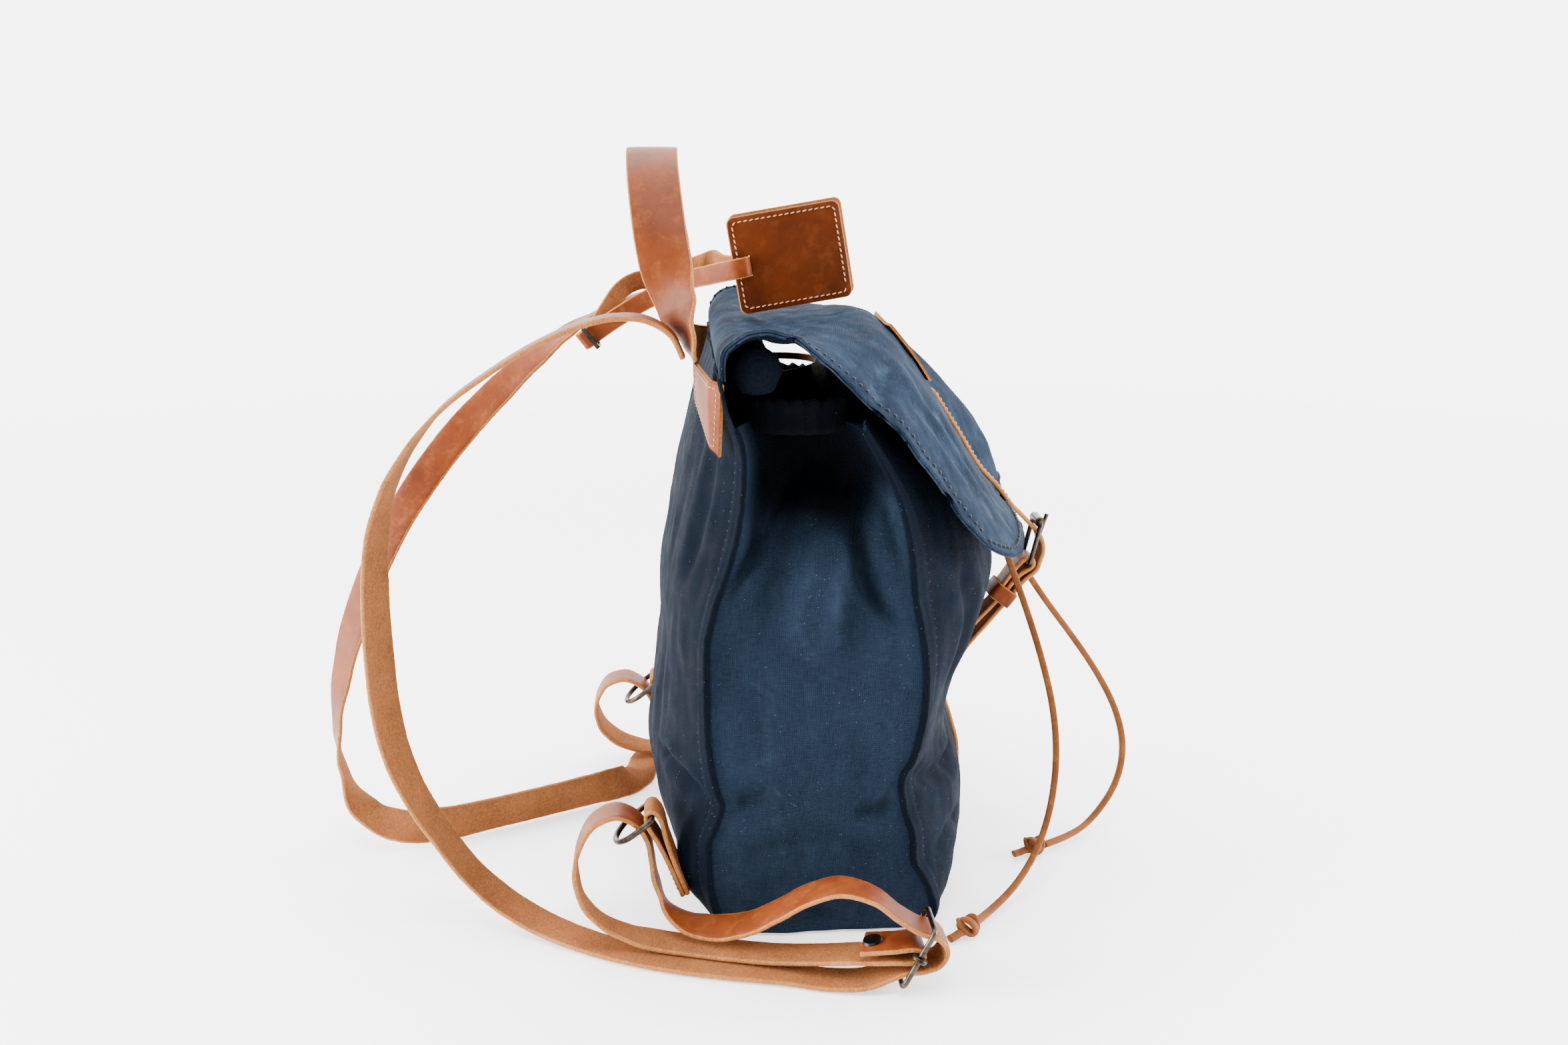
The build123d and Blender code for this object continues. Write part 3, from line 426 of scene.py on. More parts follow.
def leather(name, deep, mid, light, rough=0.48, coat=0.05):
    """The grain side of oiled cowhide."""
    s = Shader(name)
    obj = s.add("ShaderNodeTexCoord").outputs["Object"]
    blotch = s.noise(obj, 26.0, 5.0, 0.6)
    pull = s.noise(obj, 95.0, 5.0, 0.7)
    base = s.mix(s.span(blotch, 0.3, 0.7), deep, mid)
    base = s.mix(s.span(pull, 0.5, 0.8, 0.0, 0.55), base, light)
    pores = s.add("ShaderNodeTexVoronoi", {"Vector": obj, "Scale": 1500.0}, feature="DISTANCE_TO_EDGE")
    pore = s.span(pores.outputs["Distance"], 0.0, 0.09)
    base = s.mix(s.math("MULTIPLY", s.math("SUBTRACT", 1.0, pore), 0.35), base, deep)
    scratch = s.noise(obj, 1.0, 4.0, 0.7, (420.0, 120.0, 60.0))
    base = s.mix(s.span(scratch, 0.66, 0.74, 0.0, 0.3), base, light)
    gloss = s.span(pull, 0.3, 0.75, rough - 0.06, rough + 0.16)
    creases = s.bump(s.noise(obj, 240.0, 4.0, 0.6), 0.3, 0.0005)
    fine = s.bump(pore, 0.3, 0.00012, creases)
    return s.surface({"Base Color": base, "Roughness": gloss, "Normal": fine,
                      "Specular IOR Level": 0.4, "IOR": 1.3, "Specular Tint": colour("ffc9a0"),
                      "Coat Weight": coat, "Coat Roughness": 0.28})


def flesh(name, deep, mid, light):
    """The loose, fuzzy side and the cut edge of the hide."""
    s = Shader(name)
    obj = s.add("ShaderNodeTexCoord").outputs["Object"]
    patch = s.noise(obj, 40.0, 5.0, 0.65)
    nap = s.noise(obj, 700.0, 6.0, 0.75)
    base = s.mix(s.span(patch, 0.3, 0.7), deep, mid)
    base = s.mix(s.span(nap, 0.42, 0.72, 0.0, 0.7), base, light)
    return s.surface({"Base Color": base, "Roughness": 0.93, "Normal": s.bump(nap, 0.7, 0.0006),
                      "Specular IOR Level": 0.06, "Sheen Weight": 0.06, "Sheen Roughness": 0.6,
                      "Sheen Tint": light})


def metal(name, deep, light, rough=0.32):
    s = Shader(name)
    obj = s.add("ShaderNodeTexCoord").outputs["Object"]
    tarnish = s.noise(obj, 160.0, 6.0, 0.65)
    worn = s.noise(obj, 45.0, 3.0, 0.5)
    base = s.mix(s.span(tarnish, 0.35, 0.68), deep, light)
    gloss = s.span(worn, 0.3, 0.7, rough - 0.08, rough + 0.16)
    return s.surface({"Base Color": base, "Metallic": 1.0, "Roughness": gloss,
                      "Normal": s.bump(tarnish, 0.18, 0.0003)})


def thread(name, deep, light):
    s = Shader(name)
    uv = s.add("ShaderNodeTexCoord").outputs["UV"]
    ply = s.add("ShaderNodeTexWave", {"Vector": uv, "Scale": 420.0, "Distortion": 2.0},
                bands_direction="DIAGONAL").outputs["Fac"]
    base = s.mix(s.span(ply, 0.2, 0.8), deep, light)
    return s.surface({"Base Color": base, "Roughness": 0.75, "Normal": s.bump(ply, 0.5, 0.0002)})


CANVAS = canvas("waxed_canvas", colour("0a101a"), colour("192433"), colour("4a5c70"))
# A darker copy of the canvas, painted shade: for the cloth's inner side, the flap's underside and the welts.
CANVAS_SHADED = canvas("canvas_painted_shade", colour("04070c"), colour("090f18"), colour("141e2c"), wear_and_light=0.3)
GRAIN = leather("leather_grain", colour("53200b"), colour("783815"), colour("99572b"))
GRAIN_DARK = leather("leather_tag", colour("3f1706"), colour("5b260b"), colour("743b1a"), 0.5)
FLESH = flesh("leather_flesh", colour("6c3f22"), colour("89522d"), colour("a87043"))
EDGE = flesh("leather_edge", colour("845026"), colour("a5673a"), colour("c78e56"))
LACE_SKIN = leather("lace_leather", colour("5c3116"), colour("7e4a26"), colour("a06c3e"), 0.66, 0.0)
BRONZE = metal("antique_bronze", colour("241e19"), colour("544a40"), 0.36)
DARK = metal("dark_cap", colour("1f1c1b"), colour("4a4340"), 0.38)
NAVY_THREAD = thread("navy_thread", colour("020307"), colour("0a111e"))
TAN_THREAD = thread("tan_thread", colour("a9744c"), colour("d8ac84"))
# Outer side, inner side and edge of a piece.
STRAP_MATS = [GRAIN, FLESH, EDGE]
TAG_MATS = [GRAIN_DARK, FLESH, EDGE]
# The cloth's inner side takes the darker canvas, painted shade.
CLOTH_MATS = [CANVAS, CANVAS_SHADED, CANVAS]

# ---------------------------------------------------------------- camera, then the two free laces
# The camera is fitted to the photograph; lengths in metres.
camera_data = bpy.data.cameras.new("camera")
camera_data.sensor_width = 36.0
camera_data.lens = 35.59
camera_data.clip_end = 50.0
camera = bpy.data.objects.new("camera", camera_data)
bpy.context.scene.collection.objects.link(camera)
pitch, yaw = math.radians(14.07), math.radians(4.0)
look = Vector((math.cos(pitch) * math.cos(yaw), -math.cos(pitch) * math.sin(yaw), -math.sin(pitch)))
camera.location = (-1.079, 0.0891, 0.515)
camera.rotation_euler = look.to_track_quat("-Z", "Y").to_euler()
bpy.context.scene.camera = camera

LACE_LEFT = [
    (-17, -19.5, 346), (-17, -40, 346), (-18, -66, 333), (-19, -91, 313), (-20, -112, 288),
    (-21, -128, 261), (-22, -141, 233), (-25, -151, 206), (-29, -161, 178), (-37, -170, 148),
    (-47, -177, 116), (-60, -178, 85), (-76, -172, 56), (-94, -160, 32), (-113, -142, 14),
    (-132, -121, 4.5), (-152, -104, 5.0),
]
LACE_RIGHT = [
    (17, -19.5, 346), (17, -40, 346), (18, -66, 333), (19, -91, 313), (20, -112, 288),
    (21, -129, 261), (21, -146, 234), (21, -164, 206), (22, -184, 176), (24, -207, 146),
    (24, -228, 116), (22, -244, 86), (16, -250, 58), (6, -243, 32), (-7, -224, 12),
    (-23, -203, 3.6), (-39, -177, 4.2),
]
LACE_WIDTH, LACE_THICK = 5.4, 4.6

lace_profile = bpy.data.curves.new("lace_profile", "CURVE")
outline = lace_profile.splines.new("POLY")
LACE_ROUND = 0.9
shape = []
for a, b in ((1, 1), (-1, 1), (-1, -1), (1, -1)):
    for t in (0, 45, 90):
        u, v = math.cos(math.radians(t)) * LACE_ROUND, math.sin(math.radians(t)) * LACE_ROUND
        if a * b < 0:
            u, v = v, u
        shape.append((a * (LACE_WIDTH / 2 - LACE_ROUND + u), b * (LACE_THICK / 2 - LACE_ROUND + v)))
outline.points.add(len(shape) - 1)
for point, (a, b) in zip(outline.points, shape):
    point.co = (a * MM, b * MM, 0, 1)
outline.use_cyclic_u = True
profile_obj = bpy.data.objects.new("lace_profile", lace_profile)
bpy.context.scene.collection.objects.link(profile_obj)
profile_obj.hide_render = True
profile_obj.hide_viewport = True


def line_length(curve_obj):
    """Length in metres of a curve's own line."""
    plain = curve_obj.copy()
    plain.data = curve_obj.data.copy()
    bpy.context.scene.collection.objects.link(plain)
    bpy.context.view_layer.update()
    data = bpy.data.meshes.new_from_object(plain)
    p = np.array([v.co for v in data.vertices])
    bpy.data.objects.remove(plain)
    return p, float(np.linalg.norm(np.diff(p, axis=0), axis=1).sum())


lace_lines = {}
for name, route, node in (("lace_left", LACE_LEFT, "drawstring_left"),
                          ("lace_right", LACE_RIGHT, "drawstring_right")):
    data = bpy.data.curves.new(name, "CURVE")
    data.dimensions = "3D"
    spline = data.splines.new("NURBS")
    spline.points.add(len(route) - 1)
    for point, co in zip(spline.points, route):
        point.co = (co[0] * MM, co[1] * MM, co[2] * MM, 1.0)
    spline.order_u = 3
    spline.use_endpoint_u = True
    spline.resolution_u = 10
    data.twist_mode = "MINIMUM"
    data.materials.append(LACE_SKIN)
    lace = bpy.data.objects.new(name, data)
    bpy.context.scene.collection.objects.link(lace)
    samples, length = line_length(lace)
    data.bevel_mode = "OBJECT"
    data.bevel_object = profile_obj
    data.use_fill_caps = True
    lace_lines[name] = (lace, samples, length)
    settle(lace, "bag", "lace_leather", node)


def overhand(name, centre, heading, node, stub=11.0):
    """A flat lace tied in an overhand knot, with a short tail beyond it."""
    heading = unit(np.array([heading[0], heading[1], 0.0]))
    side = np.array([-heading[1], heading[0], 0.0])
    up = np.array([0.0, 0.0, 1.0])
    centre = np.array(centre, float)
    line = [centre - heading * 9.5 + up * (4.8 - centre[2]) * 0.6]
    for k in range(0, 61):
        t = math.radians(-50.0 + 400.0 * k / 60.0)
        x = -4.6 * math.cos(t) + 5.5 * (k / 60.0 - 0.5)
        y = 5.0 * math.sin(t)
        z = 3.4 * math.cos(1.5 * t)
        line.append(centre + heading * x + side * y + up * z)
    line.append(centre + heading * 8.5 - side * 1.0 - up * 1.5)
    line.append(centre + heading * (8.5 + stub * 0.5) - side * 2.4 - up * 2.6)
    line.append(centre + heading * (8.5 + stub) - side * 3.6 - up * 2.9)
    smooth, _ = through(line, 1.2)
    smooth[:, 2] = np.maximum(smooth[:, 2], 2.2)
    wraps = tube(name, smooth, 2.9, [LACE_SKIN], 12, 0.66)
    band = []
    for k in range(40):
        t = 2.0 * math.pi * k / 40.0
        out = side * 6.2 * math.cos(t) + up * 5.4 * math.sin(t)
        band.append(centre + heading * (0.5 + 1.2 * math.sin(t)) + out)
    band = np.array(band)
    band[:, 2] = np.maximum(band[:, 2], 1.6)
    ring = tube(name + "_turn", band, 3.1, [LACE_SKIN], 12, 0.5, True,
                unit(band - centre - heading * np.dot(band - centre, heading)[:, None]))
    ring.parent = wraps
    settle(wraps, "bag", "lace_leather", node)
    return [wraps, ring]


knots_left = overhand("lace_knot_left", (-160, -97, 6.6), (-20, 17), "knot_left", 9.0)
knots_right = overhand("lace_knot_right", (-45, -167.5, 6.6), (-16, 24), "knot_right", 9.0)
for name, knot in (("lace_left", knots_left), ("lace_right", knots_right)):
    lace, samples, length = lace_lines[name]

# ---------------------------------------------------------------- canvas body
BACK_SEAM = [
    (61, 1.5), (66, 7), (69, 17), (73, 33), (74, 55), (74, 67), (69, 79), (65, 92), (69, 106), (73, 131),
    (74, 171), (73, 205), (69, 223), (58, 255), (50, 295), (50, 330), (58, 352), (62, 371),
]
BACK_MIDDLE = [
    (63, 1.5), (74, 8), (98, 40), (110, 88), (107, 134), (101, 177), (100, 213), (94, 257), (85, 300),
    (74, 340), (63.5, 371),
]
FRONT_SEAM = [
    (-69, 1.5), (-75, 10), (-70, 36), (-63, 48), (-61, 69), (-55, 89), (-54, 111), (-60, 121), (-64, 135),
    (-68, 179), (-65, 206), (-60, 230), (-57, 258), (-48, 295), (-36, 319), (-24, 340),
]
FRONT_MIDDLE = [
    (-84, 1.5), (-92, 8), (-107, 25), (-111, 50), (-110, 75), (-103, 100), (-96, 130), (-102, 160),
    (-119, 190), (-129, 215), (-123, 255), (-86, 300), (-30, 340),
]


def fullness(x):
    return 1.0 - (np.abs(x) / HALF) ** 2.6


def distance_to(line, a, b):
    """Distance of every point (a, b) from a drawn fold line."""
    pts, _ = through([(p[0], p[1], 0.0) for p in line], 3.0)
    da = a[..., None] - pts[:, 0]
    db = b[..., None] - pts[:, 1]
    d = np.sqrt(da * da + db * db)
    near = d.argmin(-1)
    share = near / (len(pts) - 1)
    return d.min(-1), share


def fold(line, a, b, depth, width, fade=0.25):
    """A soft groove (or a ridge, with a negative depth) that fades out at both ends."""
    d, share = distance_to(line, a, b)
    ends = smoothstep(0.0, fade, share) * smoothstep(0.0, fade, 1.0 - share)
    groove = np.exp(-(d / width) ** 2)
    lips = np.exp(-((d - 1.8 * width) / (1.1 * width)) ** 2)
    return depth * ends * (groove - 0.35 * lips)


def waves(p, size, seed, stretch=(1.0, 1.0, 1.0)):
    flat = p.reshape(-1, 3) / np.array(stretch)
    return np.array([wobble(q, size, seed) for q in flat]).reshape(p.shape[:2])


def panel(name, seam, middle, z_top, side, folds, seed, node):
    x = np.linspace(-HALF, HALF, 121)
    z = np.linspace(1.5, z_top, int((z_top - 1.5) / 2.4))
    grid_x, grid_z = np.meshgrid(x, z, indexing="ij")
    edge, mid = at_height(seam, z), at_height(middle, z)
    y = edge[None, :] + (mid - edge)[None, :] * fullness(grid_x)
    p = np.stack([grid_x, y, grid_z], -1)
    inset = HALF - np.abs(grid_x)
    free = smoothstep(0.0, 22.0, inset) * smoothstep(0.0, 14.0, grid_z)
    push = 2.4 * waves(p, 34.0, seed, (1.0, 1.0, 2.6)) + 1.0 * waves(p, 13.0, seed + 5.0, (0.8, 1.0, 2.2))
    for line, depth, width in folds:
        push = push - fold(line, grid_x, grid_z, depth, width)
    if side > 0:
        # Each ring tab stands off a small bulge low on the back.
        bulge = ((np.abs(grid_x) - 130.0) / 20.0) ** 2 + ((grid_z - 40.0) / 24.0) ** 2
        push = push + 9.5 * np.exp(-bulge)
    # The seam allowance lies doubled under the panel's margin, up to the running stitch.
    margin = 0.8 * smoothstep(8.0, 5.5, inset) * smoothstep(0.0, 2.6, inset)
    margin = margin - 0.7 * np.exp(-((inset - 7.5) / 1.8) ** 2)
    p[..., 1] += side * (push * free + margin)
    # Rubbing on the ridges, and painted light: the whole panel, most of all its margins by the seams, is
    # made paler.
    wear_and_light = curvature(p) + 0.6 + 0.5 * smoothstep(60.0, 5.0, inset)
    # Painted shade in the groove along the stitch and at the seam edge.
    shade = 0.5 * np.exp(-((inset - 7.5) / 1.6) ** 2) + 0.75 * smoothstep(3.2, 1.2, inset)
    cloth = shell(name, p, 2.0, CLOTH_MATS, flip=side < 0, wear_and_light=np.clip(wear_and_light, 0, 1), shade=shade)
    settle(cloth, "bag", "canvas", node)
    return p


# Each fold is its line, its depth and its width.
BACK_FOLDS = [
    ([(-150, 92), (-128, 100), (-100, 106), (-70, 104)], 5.0, 6.0),
    ([(150, 92), (125, 101), (95, 105)], 4.0, 6.0), ([(-120, 330), (-112, 280), (-108, 220)], 3.0, 7.0),
    ([(112, 330), (106, 270), (110, 215)], 3.0, 7.0), ([(-70, 200), (-66, 150), (-72, 110)], 2.0, 8.0),
    ([(45, 260), (40, 200), (48, 140)], 2.0, 8.0),
]
FRONT_FOLDS = [
    ([(-150, 106), (-122, 98), (-92, 94), (-60, 100)], 6.0, 7.0),
    ([(150, 104), (120, 97), (90, 95)], 5.0, 7.0), ([(-118, 250), (-108, 200), (-112, 150)], 4.0, 7.0),
    ([(116, 250), (108, 205), (112, 160)], 4.0, 7.0), ([(-140, 40), (-110, 52), (-70, 50)], 3.0, 7.0),
    ([(-60, 210), (-50, 170), (-56, 130)], 2.5, 8.0), ([(58, 215), (50, 175), (60, 135)], 2.5, 8.0),
]
back_grid = panel("canvas_back", BACK_SEAM, BACK_MIDDLE, 371.0, 1.0, BACK_FOLDS, 1.0, "back_panel")
front_grid = panel("canvas_front", FRONT_SEAM, FRONT_MIDDLE, 340.0, -1.0, FRONT_FOLDS, 4.0, "front_panel")

# Folds of a side panel, drawn in y, z.
SIDE_FOLDS = [
    ([(36, 330), (37, 310), (39, 291), (43, 263), (59, 242), (69, 228)], 10.0, 5.5),
    ([(8, 312), (12, 300), (26, 276), (42, 262)], 7.0, 5.5),
    ([(-37, 325), (-25, 292), (-23, 265), (-28, 241), (-40, 222), (-53, 213)], 10.0, 6.0),
    ([(-43, 300), (-49, 268), (-57, 240)], 4.0, 5.0),
    ([(2, 312), (0, 285), (1, 255), (6, 225), (12, 190)], -10.0, 13.0),
    ([(68, 92), (50, 97), (24, 106)], 4.0, 6.0), ([(-56, 106), (-42, 91), (-14, 87)], 5.0, 6.0),
    ([(68, 48), (34, 60), (-12, 63), (-60, 46)], 2.5, 8.0),
    ([(62, 24), (40, 14), (5, 16), (-30, 12)], 3.0, 5.0), ([(-10, 150), (-22, 120), (-20, 95)], 2.0, 9.0),
    ([(40, 180), (34, 150), (40, 115)], 1.6, 9.0),
]


def gusset(name, side, seed, node):
    z = np.linspace(1.5, 340.0, 140)
    u = np.linspace(0.0, 1.0, 64)
    grid_z, grid_u = np.meshgrid(z, u, indexing="ij")
    back, front = at_height(BACK_SEAM, z)[:, None], at_height(FRONT_SEAM, z)[:, None]
    y = back + (front - back) * grid_u
    p = np.stack([np.full_like(y, HALF), y, grid_z], -1)
    free = smoothstep(0.0, 0.12, grid_u) * smoothstep(0.0, 0.12, 1.0 - grid_u)
    belly = np.sin(math.pi * grid_u) ** 1.2
    push = 5.0 * belly * smoothstep(0.0, 60.0, grid_z) * smoothstep(260.0, 150.0, grid_z)
    cave = np.sin(math.pi * grid_u) ** 0.75 * smoothstep(244.0, 312.0, grid_z - 16.0 * (grid_u - 0.45))
    push = push - 60.0 * cave
    push = push + free * (2.0 * waves(p, 38.0, seed) + 0.8 * waves(p, 14.0, seed + 3.0))
    hollow = np.zeros_like(y)
    for line, depth, width in SIDE_FOLDS:
        groove = fold(line, y, grid_z, depth, width) * free
        push = push - groove
        hollow = np.maximum(hollow, 0.065 * groove)
    p[..., 0] = side * (HALF - 0.4 + np.minimum(push, 9.0))
    wear_and_light = curvature(p) * 0.25 + 0.05
    # Painted shade: the hollow under the flap (less on its middle ridge), the fold grooves, the top under
    # the flap and the strips by the seams are darkened, some almost to black.
    ridge = np.exp(-((grid_u - 0.42) / 0.13) ** 2) * smoothstep(300.0, 250.0, grid_z)
    shade = smoothstep(0.06, 0.6, cave - 0.55 * ridge) * 0.985
    shade = np.maximum(shade, np.clip(hollow, 0.0, 0.6))
    shade = np.maximum(shade, 0.98 * smoothstep(282.0, 312.0, grid_z) * smoothstep(0.02, 0.14, grid_u))
    shade = np.maximum(shade, 0.7 * smoothstep(0.032, 0.012, np.minimum(grid_u, 1.0 - grid_u)))
    cloth = shell(name, p, 2.0, CLOTH_MATS, flip=side < 0, wear_and_light=np.clip(wear_and_light, 0, 1), shade=shade)
    settle(cloth, "bag", "canvas", node)


gusset("canvas_side_left", -1.0, 7.0, "left_gusset")
gusset("canvas_side_right", 1.0, 9.0, "right_gusset")

# The canvas floor, sunk a little between its edges.
u = np.linspace(-1.0, 1.0, 60)
v = np.linspace(-1.0, 1.0, 40)
gu, gv = np.meshgrid(u, v, indexing="ij")
back_y = gv * (62.0 + 3.0 * (1 - gu ** 2))
front_y = gv * (70.0 + 14.0 * (1 - np.abs(gu) ** 2.6))
bottom_y = np.where(gv > 0, back_y, front_y)
bottom = np.stack([gu * 149.0, bottom_y, 0.35 + 2.4 * np.maximum(np.abs(gu), np.abs(gv)) ** 12], -1)
bottom[..., 2] += 0.5 * (0.5 + 0.5 * waves(bottom, 22.0, 2.0))
floor_cloth = shell("canvas_base", bottom, -1.6, CLOTH_MATS)
settle(floor_cloth, "bag", "canvas", "base_panel")

# Welted seams round the side panels, and the running stitch beside each one.
for side, tag in ((-1.0, "left"), (1.0, "right")):
    for seam, where, outward, grid in ((BACK_SEAM, "back", 1.0, back_grid),
                                       (FRONT_SEAM, "front", -1.0, front_grid)):
        z = np.linspace(2.0, 338.0, 190)
        y = at_height(seam, z)
        ripple = np.array([0.5 * noise.noise(Vector((0.0, zz / 7.0, side))) for zz in z])
        line = np.stack([np.full_like(z, side * (HALF + 0.6)) + ripple * 0.6, y + ripple, z], -1)
        # The welt takes the darker canvas: a painted shade line along the seam.
        welt = tube("welt_" + where + "_" + tag, line, 2.0, [CANVAS_SHADED], 10, 1.0)
        settle(welt, "bag", "canvas")
        # The stitch runs on the panel's own face, a few millimetres from the seam.
        row = grid[3 if side < 0 else -4]
        thread_line = row[row[:, 2] < 336] + np.array([0.0, outward * 0.25, 0.0])
        face = unit(np.array([side * 0.6, outward, 0.0]))
        run = stitches("stitch_" + where + "_" + tag, thread_line, face, NAVY_THREAD, 4.0, 2.2, 1.1, 0.5)
        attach(run, "bag")

# ---------------------------------------------------------------- gathered mouth
COLLAR_LENGTH, COLLAR_DEPTH, COLLAR_Y = 138.0, 34.0, 12.0


def racetrack(count, inset):
    """Points round the mouth, starting at the front."""
    straight = COLLAR_LENGTH - COLLAR_DEPTH
    r = COLLAR_DEPTH - inset
    total = 4.0 * straight + 2.0 * math.pi * r
    pts = []
    for k in range(count):
        s = total * k / count
        if s < 2 * straight:
            pts.append((-straight + s, COLLAR_Y - r))
        elif s < 2 * straight + math.pi * r:
            a = (s - 2 * straight) / r - math.pi / 2.0
            pts.append((straight + r * math.cos(a), COLLAR_Y + r * math.sin(a)))
        elif s < 4 * straight + math.pi * r:
            pts.append((straight - (s - 2 * straight - math.pi * r), COLLAR_Y + r))
        else:
            a = (s - 4 * straight - math.pi * r) / r + math.pi / 2.0
            pts.append((-straight + r * math.cos(a), COLLAR_Y + r * math.sin(a)))
    return np.array(pts)


count = 480
PLEATS = 58
# Height, inset and depth of the pleats of each ring, up the outside and down the inside.
levels = [
    (334.0, 0.5, 0.3), (338.0, 0.2, 0.8), (342.0, 0.6, 1.0), (346.0, 1.6, 0.6), (350.0, 0.6, 1.1),
    (354.0, 0.2, 1.5), (355.6, 1.6, 1.4), (354.5, 4.2, 1.2), (349.0, 6.2, 0.9), (342.0, 6.8, 0.8),
    (336.0, 7.2, 0.6),
]
rows = []
for z, inset, flute in levels:
    ring = racetrack(count, inset)
    centre_line = racetrack(count, 8.0)
    inward = unit(centre_line - ring + 1e-6)
    uneven = np.array([2.2 * noise.noise(Vector((k / 17.0, 0.3, 0.0))) for k in range(count)])
    phase = np.cos(2.0 * math.pi * PLEATS * np.arange(count) / count + uneven)
    ring = ring + inward * (1.0 - phase[:, None]) * 0.9 * flute
    lift = 0.7 * flute * phase - 16.0 * smoothstep(70.0, 128.0, ring[:, 0])
    rows.append(np.column_stack([ring, z + lift]))
verts = np.array(rows).reshape(-1, 3)
faces = ring_quads(len(levels), count, wrap=True)
uvs = [(k * 1.3 * MM, r * 4.0 * MM) for r in range(len(levels)) for k in range(count)]
even = np.ones(len(verts))
# Painted shade: the whole gathered mouth is darkened almost to black, as it lies under the flap.
gather = mesh("gathered_mouth", verts, faces, [CANVAS], uvs, None, 0.2 * even, 0.985 * even)
settle(gather, "bag", "canvas", "mouth_collar")

# The mouth's upper edge is rolled over at the back; its ends show under the flap.
x = np.linspace(-136.0, 136.0, 110)
turns = np.linspace(0.0, 2.0 * math.pi, 41)[:-1]
verts, uvs = [], []
for xx in x:
    end = min(1.0, (136.0 - abs(xx)) / 7.0)
    radius = 15.5 * math.sqrt(max(0.05, 1.0 - (1.0 - end) ** 2))
    centre_z = 364.5 + 10.0 * (abs(xx) / 136.0) ** 3
    centre_y = 40.0 - 1.5 * (abs(xx) / 136.0) ** 3
    tall = 1.0 if abs(xx) > 100 else 0.92
    for a in turns:
        crease = 1.3 * noise.noise(Vector((xx / 16.0, math.cos(a) * 1.4, math.sin(a) * 1.4)))
        crease += 0.8 * noise.noise(Vector((xx / 5.0, math.cos(a) * 2.4 + 7.0, math.sin(a) * 2.4)))
        r = radius + crease * min(1.0, end)
        verts.append((xx, centre_y + r * math.cos(a) * 0.94, centre_z + r * math.sin(a) * tall))
        uvs.append((xx * MM, a * 15.0 * MM))
m = len(turns)
faces = ring_quads(len(x), m)
faces += [tuple(range(m))[::-1], tuple(range((len(x) - 1) * m, len(x) * m))]
even = np.ones(len(verts))
# Painted shade: the whole roll is darkened, as it lies under the flap.
roll = mesh("rolled_edge", verts, faces, [CANVAS], uvs, None, 0.3 * even, 0.8 * even)
settle(roll, "bag", "canvas")

# ---------------------------------------------------------------- flap
FLAP_EDGE = [
    (63, 370), (63, 379), (60, 389), (51, 396.5), (39, 400), (26, 399), (16, 396.5), (7, 390), (-3, 381),
    (-17, 367), (-34, 350), (-50, 337), (-62, 320), (-76, 302), (-89, 284), (-101, 267), (-112, 254),
    (-121, 244),
]
FLAP_MIDDLE = [
    (63.5, 370), (64, 377), (61.5, 384), (56, 388.5), (44, 389), (28, 389.8), (12, 391), (-2, 392.6),
    (-16, 394), (-30, 395.6), (-43, 394.5), (-54, 388), (-67, 373), (-82, 350), (-98, 325), (-115, 297),
    (-133, 272), (-149, 254),
]
# Past the strap that holds its middle down, the right half of the front slope billows out.
FLAP_BILLOW = [(0, 0)] * 11 + [(-2, 1.5), (-7, 5), (-14, 9), (-19, 12), (-23, 14.5), (-20, 11.5), (-12, 4)]
FLAP_TURN = 46.0


def flap_side(x):
    """The flap's profile at x, long enough for a point share from 0 (back seam) to 1 (hem)."""
    t = fullness(x)
    past = 1.0 - 0.75 * smoothstep(95.0, HALF, x)
    stations = []
    for k, (a, b, c) in enumerate(zip(FLAP_EDGE, FLAP_MIDDLE, FLAP_BILLOW)):
        share = smoothstep(40.0 - 26.0 * smoothstep(12.5, 14.5, k), 76.0, x) * past
        y, z = (a[axis] + (b[axis] - a[axis]) * t + c[axis] * share for axis in (0, 1))
        stations.append((y, z, 0.0))
    line, _ = through(stations, 1.0)
    run = distances(line)
    return line, run


def flap_point_rows(xs, count):
    rows = []
    for xx in xs:
        line, run = flap_side(xx)
        over = max(0.0, abs(xx) - (HALF - FLAP_TURN))
        cut = FLAP_TURN - math.sqrt(max(0.0, FLAP_TURN ** 2 - over ** 2))
        s = np.linspace(0.0, 1.0, count) ** 0.97 * (run[-1] - cut)
        y, z = (np.interp(s, run, line[:, axis]) for axis in (0, 1))
        rows.append(np.column_stack([np.full(count, xx), y, z]))
    return np.array(rows)


# The x stations crowd towards the flap's rounded corners.
FLAP_ROWS, FLAP_COLUMNS = 131, 128
TOP_POINT = (65, 40, 2)     # z of the normal in the middle of the flap's top
flap_x = HALF * np.sin(np.linspace(-1.0, 1.0, FLAP_ROWS) * math.pi / 2.0) * 0.9995
flap = flap_point_rows(flap_x, FLAP_COLUMNS)
flap_normal = grid_normals(flap)
if flap_normal[TOP_POINT] < 0:
    flap_normal = -flap_normal
gx = flap[..., 0]
free = smoothstep(0.0, 0.1, np.linspace(0.0, 1.0, FLAP_COLUMNS))[None, :] * np.ones_like(gx)
push = 1.5 * waves(flap, 30.0, 11.0) + 0.7 * waves(flap, 12.0, 14.0)
near_edge = np.exp(-((HALF - np.abs(gx)) / 11.0) ** 2)
push = push + near_edge * (1.8 * waves(flap, 26.0, 21.0) + 0.6 * waves(flap, 11.0, 23.0))
